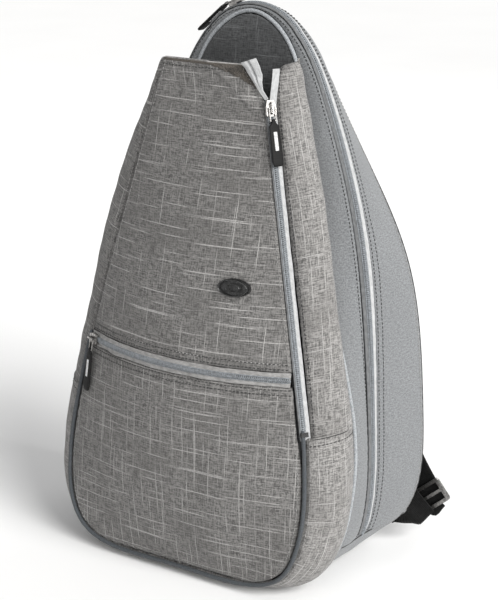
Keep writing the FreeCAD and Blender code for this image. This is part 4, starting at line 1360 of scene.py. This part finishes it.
def make_back():
    grid = outline_plate(BACK, 4.0, 2.6, rows=190, columns=150)
    x, z = grid[..., 0], grid[..., 2]
    half = np.abs(x[:, :1]) + 0 * x
    rim = -2.0 * np.exp(-(half - np.abs(x)) / 3.0)
    pads = back_pads(x, z, half)
    creases = 0.35 * waves(x, z, 24.0, 141) * pads + 0.3 * waves(x, z, 60.0, 142)
    grid[..., 1] += rim + 4.2 * pads + creases
    piece = shell("back_cushion", grid, depth=4.6, flip=1.0, rim=0.4)
    dress(piece, MESH_CLOTH, replaces=["back_panel", "back_foam"])
    s = np.linspace(-8.97, 8.97, 800)
    path, out = resample(BACK.point(s), 1.8, BACK.normal(s))
    path = path + vec(0, 3.6, 0) - unit(out) * 2.6
    dress(tube("back_binding", path, out, 1.7, 12), BINDING)
    columns = np.arange(x.shape[1])
    channels = [(level, side) for level in range(86, 380, CHANNEL_PITCH) for side in (-1, 1)]
    for k, (level, side) in enumerate(channels):
        line_x = np.linspace(SPINE_X, float(BACK.half_at(level)) - 20, 50) * side
        row = int(np.argmin(np.abs(z[:, 0] - level)))
        p, n = on_grid(grid, np.full(50, float(row)), np.interp(line_x, x[row], columns))
        stitches("back_channel_stitches_%d" % k, p, -n, 0.3)
    for side in (-1, 1):
        line_z = np.linspace(PAD_FLOOR, PAD_TOP, 200)
        row = np.interp(line_z, z[:, 0], np.arange(len(z)))
        col = np.array([np.interp(side * SPINE_X, x[int(r)], columns) for r in row])
        p, n = on_grid(grid, row, col)
        stitches("back_spine_stitches_%d" % (side + 1), p, -n, 0.3)


YOKE_HALF = 30                   # half the width of the shoulder yoke


def make_yoke():
    """Padded yoke that hides the straps' sewn ends."""
    profile = spline([(79.4, 456.5), (84.5, 456), (91, 445), (97, 434.5), (96.5, 429), (89.5, 428.5),
                      (83.5, 434), (79.4, 442)], closed=True, sharp=0.5)
    ring = profile(np.linspace(0, 8, 40, endpoint=False))
    middle = ring.mean(0)
    x = YOKE_HALF * np.sin(np.linspace(-math.pi / 2, math.pi / 2, 34))
    scale = 0.55 + 0.45 * np.sqrt(np.clip(1 - (np.abs(x) / (YOKE_HALF + 0.2)) ** 6, 0, 1))
    yz = middle + (ring[None] - middle) * scale[:, None, None]
    grid = np.concatenate([np.broadcast_to(x[:, None, None], yz.shape[:2] + (1,)), yz], -1)
    uvs = np.stack([grid[..., 0], grid[..., 2]], -1).reshape(-1, 2)
    piece = make_object("yoke_pad", grid.reshape(-1, 3), tube_faces(*grid.shape[:2]), uvs)
    dress(piece, HEATHER, replaces=["shoulder_yoke"])
    line = np.stack([np.linspace(-25, 25, 60), np.full(60, 93.9), np.full(60, 440.4)], -1)
    out = np.broadcast_to(unit(vec(0, 0.88, 0.48)), line.shape)
    stitches("yoke_stitches", line, out, 0.9)
    ends = np.stack([np.linspace(-28, 28, 40), np.full(40, 96.6), np.full(40, 431.5)], -1)
    dress(tube("yoke_binding", ends, np.broadcast_to(vec(0, 1, 0), ends.shape), 1.5, 10), BINDING)


# ---------------------------------------------------------------- straps
STRAP_T, WEB_W, WEB_T = 8.0, 25.0, 1.6
PAD_SAMPLES = 110                # rows of points along a strap's pad
SEWN_FROM, SEWN_TO = 40, 106     # rows between which the webbing is sewn to the pad
PAD_PATH = [(16, 94, 419), (24, 105, 393), (38, 116, 340), (58, 123, 270), (78, 121, 200),
            (90, 118, 140), (94, 117, 122)]
PAD_WIDTHS = [26, 38, 48, 54, 54, 48, 40]
BUCKLE, BUCKLE_U, BUCKLE_V = vec(155, 107, 43), vec(0.64, 0, -0.77), vec(0.77, 0, 0.64)
ANCHOR_SIDE = vec(0.83, 0, -0.55)


def mirror(points, side):
    return [vec(p[0] * side, p[1], p[2]) for p in points]


def turning(side):
    return lambda f: lerp(vec(0.85, 0, 0.5), BUCKLE_V, min(1.0, f * 2)) * vec(side, 1, 1)


def make_strap(side, hand):
    body = "strap_" + hand
    path, across, out = ribbon_frame(mirror(PAD_PATH, side), vec(1, 0, 0), PAD_SAMPLES)
    f = np.linspace(0, 1, PAD_SAMPLES)
    width = curve([(i / 6, w) for i, w in enumerate(PAD_WIDTHS)])(f)
    close = np.sqrt(np.clip(1 - np.abs(2 * f - 1) ** 22, 0, 1))
    width = np.maximum((width - 1.6) * close, 1.0)
    height = STRAP_T * lerp(0.35, 0.84, close) + 0.25 * waves(f * 330, f * 0, 40.0, 151)
    facing_rear = out * np.sign(out[PAD_SAMPLES // 2, 1])
    pad = loft("strap_pad_%s_cushion" % hand, path, across, out, width, height)
    puff_up(pad)
    dress(pad, MESH_CLOTH, body, ["strap_pad_" + hand])
    two_sided(pad, PAD_CLOTH, MESH_CLOTH)
    rims = [path + across * (edge * width[:, None] / 2) for edge in (1, -1)]
    rim = np.concatenate([rims[0], rims[1][::-1]])
    rim, rim_out = resample(rim, 2.0, np.concatenate([facing_rear, facing_rear[::-1]]))
    dress(tube("strap_binding_" + hand, rim, rim_out, 1.9, 10), BINDING, body)
    for k, edge in enumerate((-1, 1)):
        inner = (path + across * (edge * (width[:, None] / 2 - 6.0))
                 + facing_rear * (height[:, None] / 2 - 0.25))
        stitches("strap_edge_stitches_%s_%d" % (hand, k), inner[9:-9], facing_rear[9:-9],
                 0.5, GREY_THREAD, body)
    # webbing sewn down the pad's outer face, then on to the buckle
    sewn_rows = slice(SEWN_FROM, SEWN_TO, 11)
    sewn = [p + o * (STRAP_T / 2 + 0.6) for p, o in zip(path[sewn_rows], facing_rear[sewn_rows])]
    webbing("strap_pad_webbing_" + hand, sewn, vec(1, 0, 0), 20.0, 1.2, 80, body)
    for k, row in enumerate((0.02, 0.5, 0.97)):
        i = SEWN_FROM + int(row * 58)
        centre = path[i] + facing_rear[i] * (STRAP_T / 2 + 1.5)
        box_stitch("strap_box_%s_%d" % (hand, k), centre, across[i],
                   np.gradient(path, axis=0)[i], 14.0, 11.0, facing_rear[i], body)
    web = mirror([(91.5, 117.4, 127), (98, 116.4, 116.5), (112, 114.5, 101), (134, 110.5, 71)], side)
    flipped = vec(side, 1, 1)
    lead, tail = BUCKLE * flipped, BUCKLE_U * flipped
    web += [lead - tail * 12 + vec(0, 2.7, 0), lead + tail * 9 + vec(0, 2.7, 0)]
    webbing("strap_webbing_%s_band" % hand, web, turning(side), WEB_W, WEB_T, 90, body,
            ["strap_webbing_" + hand], 0.3)
    tail_path = mirror([(157, 112.0, 41), (153.4, 112.4, 36), (149.6, 112.4, 30),
                        (146.6, 112.4, 25.5)], side)
    tapered = np.interp(np.linspace(0, 1, 50), [0, 0.6, 0.85, 0.95, 1], [25, 25, 23, 19, 12])
    webbing("strap_tail_%s_band" % hand, tail_path, ANCHOR_SIDE * flipped, tapered, WEB_T, 50,
            body, ["strap_tail_" + hand])
    anchor = mirror([(142.5, 90, 26), (144, 96, 28.5), (147, 100, 33), (151, 103, 38)], side)
    piece = band("anchor_webbing_%s_band" % hand, anchor, ANCHOR_SIDE * flipped, WEB_W, WEB_T, 50)
    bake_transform(piece)
    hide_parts("anchor_webbing_" + hand)
    make_anchor(side, hand)


def anchor_x(z):
    """Middle of the strap's anchor at a height, kept inside the back's outline."""
    return np.minimum(BACK.half_at(z) - 15.0, 142.0)


def make_anchor(side, hand):
    """Folded webbing tab, sewn flat on the back panel's lower corner."""
    levels = np.linspace(0, 1, 24)[:, None]
    share = np.linspace(-1, 1, 20)[None, :]
    z = lerp(17.0, 39.6, levels) + 0 * share
    x = side * (anchor_x(z) + 11 * share)
    y = 82.0 - 1.8 * (np.abs(levels * 2 - 1) ** 5) + 0.15 * waves(x, z, 14.0, 161)
    grid = np.stack([x, y, z], -1)
    piece = shell("strap_anchor_%s_tab" % hand, grid, depth=2.0, flip=side)
    dress(piece, WEBBING, replaces=["strap_anchor_" + hand])
    middle = float(anchor_x(30.0))
    box_stitch("strap_anchor_stitches_" + hand, vec(side * middle, 82.3, 30), vec(1, 0, 0),
               vec(0, 0, 1), 12.0, 12.0, vec(0, 1, 0), thread=GREY_THREAD)
    link = mirror([(middle + 2, 81.6, 27.0), (141.0, 86, 26.4), (142.5, 90.6, 26.3)], side)
    webbing("strap_anchor_%s_link" % hand, link,
            lambda f: lerp(vec(side, 0, 0), ANCHOR_SIDE * vec(side, 1, 1), f),
            np.linspace(17.0, 24.6, 20), 1.5, 20)


def make_haul_loop():
    half = [(-15, 89, 467), (-14.6, 94, 461.5), (-12, 98.5, 457), (-7, 102, 453), (0, 103, 452)]
    points = [vec(*p) for p in half] + [vec(-p[0], p[1], p[2]) for p in reversed(half[:-1])]
    path, side, out = ribbon_frame(points, vec(0, 0.75, 0.66), 90)
    piece = loft("haul_loop_band", path, side, out, np.full(90, 11.6), np.full(90, 2.3), 20, 3.2)
    dress(piece, WEBBING, "haul_loop", ["haul_loop"])
    for name, x in (("left", -15), ("right", 15)):
        levels = np.linspace(460.2, 473.8, 16)[:, None]
        share = np.linspace(-1, 1, 12)[None, :]
        y = 81.9 - 1.2 * np.abs((levels - 467) / 7) ** 4
        grid = np.stack(np.broadcast_arrays(x + 4 * share, y, levels), -1)
        piece = shell("haul_loop_seat_%s_tab" % name, grid, depth=2.0)
        dress(piece, WEBBING, replaces=["haul_loop_seat_" + name])
        stem = [vec(x, 81.8, 467), vec(x, 85.5, 467.4), vec(x, 89.4, 466.6)]
        webbing("haul_loop_stem_" + name, stem, vec(0, 0.3, 1), 10.5, 2.0, 16)
        bars = np.array([(x - 2.6 + 1.3 * k, 82.3, 462.4) for k in range(5)])
        out = np.broadcast_to(vec(0, 1, 0), bars.shape)
        dress(capsules("haul_loop_bartack_" + name, bars, bars + vec(0, 0, 9.0), out, 0.4,
                       arch=0.15), GREY_THREAD)


make_back()
make_yoke()
make_strap(1, "right")
make_strap(-1, "left")
make_haul_loop()


# ---------------------------------------------------------------- metal and pulls
def polish(node, material, width_mm):
    """Keeps a CAD piece and gives it a finish and small rounded edges."""
    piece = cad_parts[node]
    piece.data.materials.clear()
    piece.data.materials.append(material)
    bevel = piece.modifiers.new("edges", "BEVEL")
    bevel.width, bevel.segments = width_mm * MM, 2
    bevel.limit_method, bevel.angle_limit = "ANGLE", math.radians(35)


for zip_name in ("main", "pocket", "racket"):
    polish(zip_name + "_slider", NICKEL, 0.25)
    polish(zip_name + "_pull_link", NICKEL, 0.1)
for hand in ("left", "right"):
    polish("strap_buckle_" + hand, NICKEL, 0.5)
polish("racket_zip_stop", GUNMETAL, 0.3)
polish("badge", GUNMETAL, 0.25)


def make_badge_relief():
    """Two plain raised rings on the oval badge."""
    points = np.array([v.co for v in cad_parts["badge"].data.vertices]) / MM
    centre = (points.max(0) + points.min(0)) / 2
    out = unit(vec(0, -1, FRONT_PLANE[1]))
    right = unit(np.linalg.svd(points - points.mean(0), full_matrices=False)[2][0])
    up = unit(np.cross(out, right))
    reach = [np.ptp((points - centre) @ axis) / 2 for axis in (right, up)]
    face = max((points - centre) @ out)
    turn = np.linspace(0, 2 * math.pi, 120)
    for k, (scale, radius) in enumerate(((0.88, 0.5), (0.42, 0.4))):
        ring = (centre + right * (np.cos(turn) * reach[0] * scale)[:, None]
                + up * (np.sin(turn) * reach[1] * scale)[:, None] + out * (face + 0.1))
        dress(tube("badge_rim_%d" % k, ring, np.broadcast_to(out, ring.shape), radius, 10), GUNMETAL)


make_badge_relief()


def tab_frame(node):
    """Centre, length, width and thickness directions of a flat CAD pull tab."""
    points = np.array([v.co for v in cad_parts[node].data.vertices]) / MM
    centre = (points.max(0) + points.min(0)) / 2
    axes = np.linalg.svd(points - points.mean(0), full_matrices=False)[2]
    along = axes[0] * (1 if axes[0][2] < 0 else -1)
    reach = (points - centre) @ along
    middle = (reach.max() + reach.min()) / 2
    return centre + along * middle, along, axes[1], axes[2], reach.max() - reach.min()


def make_pull(zip_name):
    """Moulded pull: a tapered grip with a narrow neck, ridges and a pale stripe."""
    node = zip_name + "_pull_tab"
    centre, along, side, out, length = tab_frame(node)
    t = np.linspace(0, 1, 60)
    path = centre + along * ((t * 0.93 - 0.5) * length)[:, None]
    width = np.interp(t, [0, 0.045, 0.09, 0.15, 0.5, 0.9, 0.97, 1],
                      [2.2, 3.3, 4.4, 9.4, 10.0, 10.4, 9.2, 6.0])
    height = np.interp(t, [0, 0.04, 0.1, 0.2, 0.9, 0.97, 1], [2.2, 3.3, 2.6, 2.2, 2.5, 2.1, 1.0])
    ridges = 0.16 * np.sin(t * 60 * math.pi / 1.6) * step(0.72, 0.78, t) * (1 - step(0.93, 0.96, t))
    body = zip_name + "_tab"
    piece = loft(zip_name + "_pull_grip", path, np.broadcast_to(side, path.shape),
                 np.broadcast_to(out, path.shape), width, height + ridges, 28, 4.0)
    dress(piece, RUBBER, body, [node])
    a, b = centre + along * (-0.24 * length), centre + along * (0.12 * length)
    for k, face in enumerate((-1, 1)):
        line = np.linspace(0, 1, 24)[:, None]
        share = np.linspace(-1, 1, 7)[None, :, None]
        base = lerp(a, b, line)[:, None] + side * share * 1.5 + out * face * 1.42
        flip = np.sign(grid_normals(base)[12, 3] @ (out * face))
        dress(shell("%s_pull_stripe_%d" % (zip_name, k), base, depth=0.5, flip=flip), STRIPE, body)


for zip_name in ("main", "pocket", "racket"):
    make_pull(zip_name)


# ---------------------------------------------------------------- floor and light
def make_floor():
    half, rows = 30000.0, 2
    ends = np.linspace(-half, half, rows)
    x, y = np.meshgrid(ends, ends, indexing="ij")
    grid = np.stack([x, y, np.full_like(x, -0.2)], -1)
    floor = make_object("floor", grid.reshape(-1, 3), quads(rows, rows))
    f = Finish("floor", roughness=0.9)
    haze = f.noise(f.place_mm(), 0.004, 2.0)
    f.colour(f.mix(haze, grey(0.86), grey(0.90)))
    floor.data.materials.append(f.material)


def soft_light(name, place, aim, power, tint, size=None):
    """A softbox at a place, or with no size a broad far light from that direction."""
    data = bpy.data.lights.new(name, "AREA" if size else "SUN")
    data.energy, data.color = power, tint
    if size:
        data.size = size
    else:
        data.angle = math.radians(38)
    lamp = bpy.data.objects.new(name, data)
    bpy.context.scene.collection.objects.link(lamp)
    lamp.location = place
    lamp.rotation_mode = "QUATERNION"
    lamp.rotation_quaternion = (Vector(aim) - Vector(place)).to_track_quat("-Z", "Y")


def make_light():
    world = bpy.data.worlds.new("world")
    world.use_nodes = True
    world.node_tree.nodes["Background"].inputs[0].default_value = (1.0, 1.0, 1.0, 1.0)
    world.node_tree.nodes["Background"].inputs[1].default_value = 0.42
    bpy.context.scene.world = world
    bpy.context.scene.view_settings.view_transform = "Standard"
    centre = (0.0, 0.0, 0.25)
    soft_light("key", (2.0, -0.55, 1.45), centre, 4.5, (1.0, 0.995, 0.98))
    soft_light("front", (0.5, -1.9, 1.0), centre, 5.0, (1.0, 1.0, 1.0), 1.2)
    soft_light("back", (0.3, 1.9, 1.1), centre, 12.0, (1.0, 1.0, 1.0), 1.2)


make_floor()
make_light()
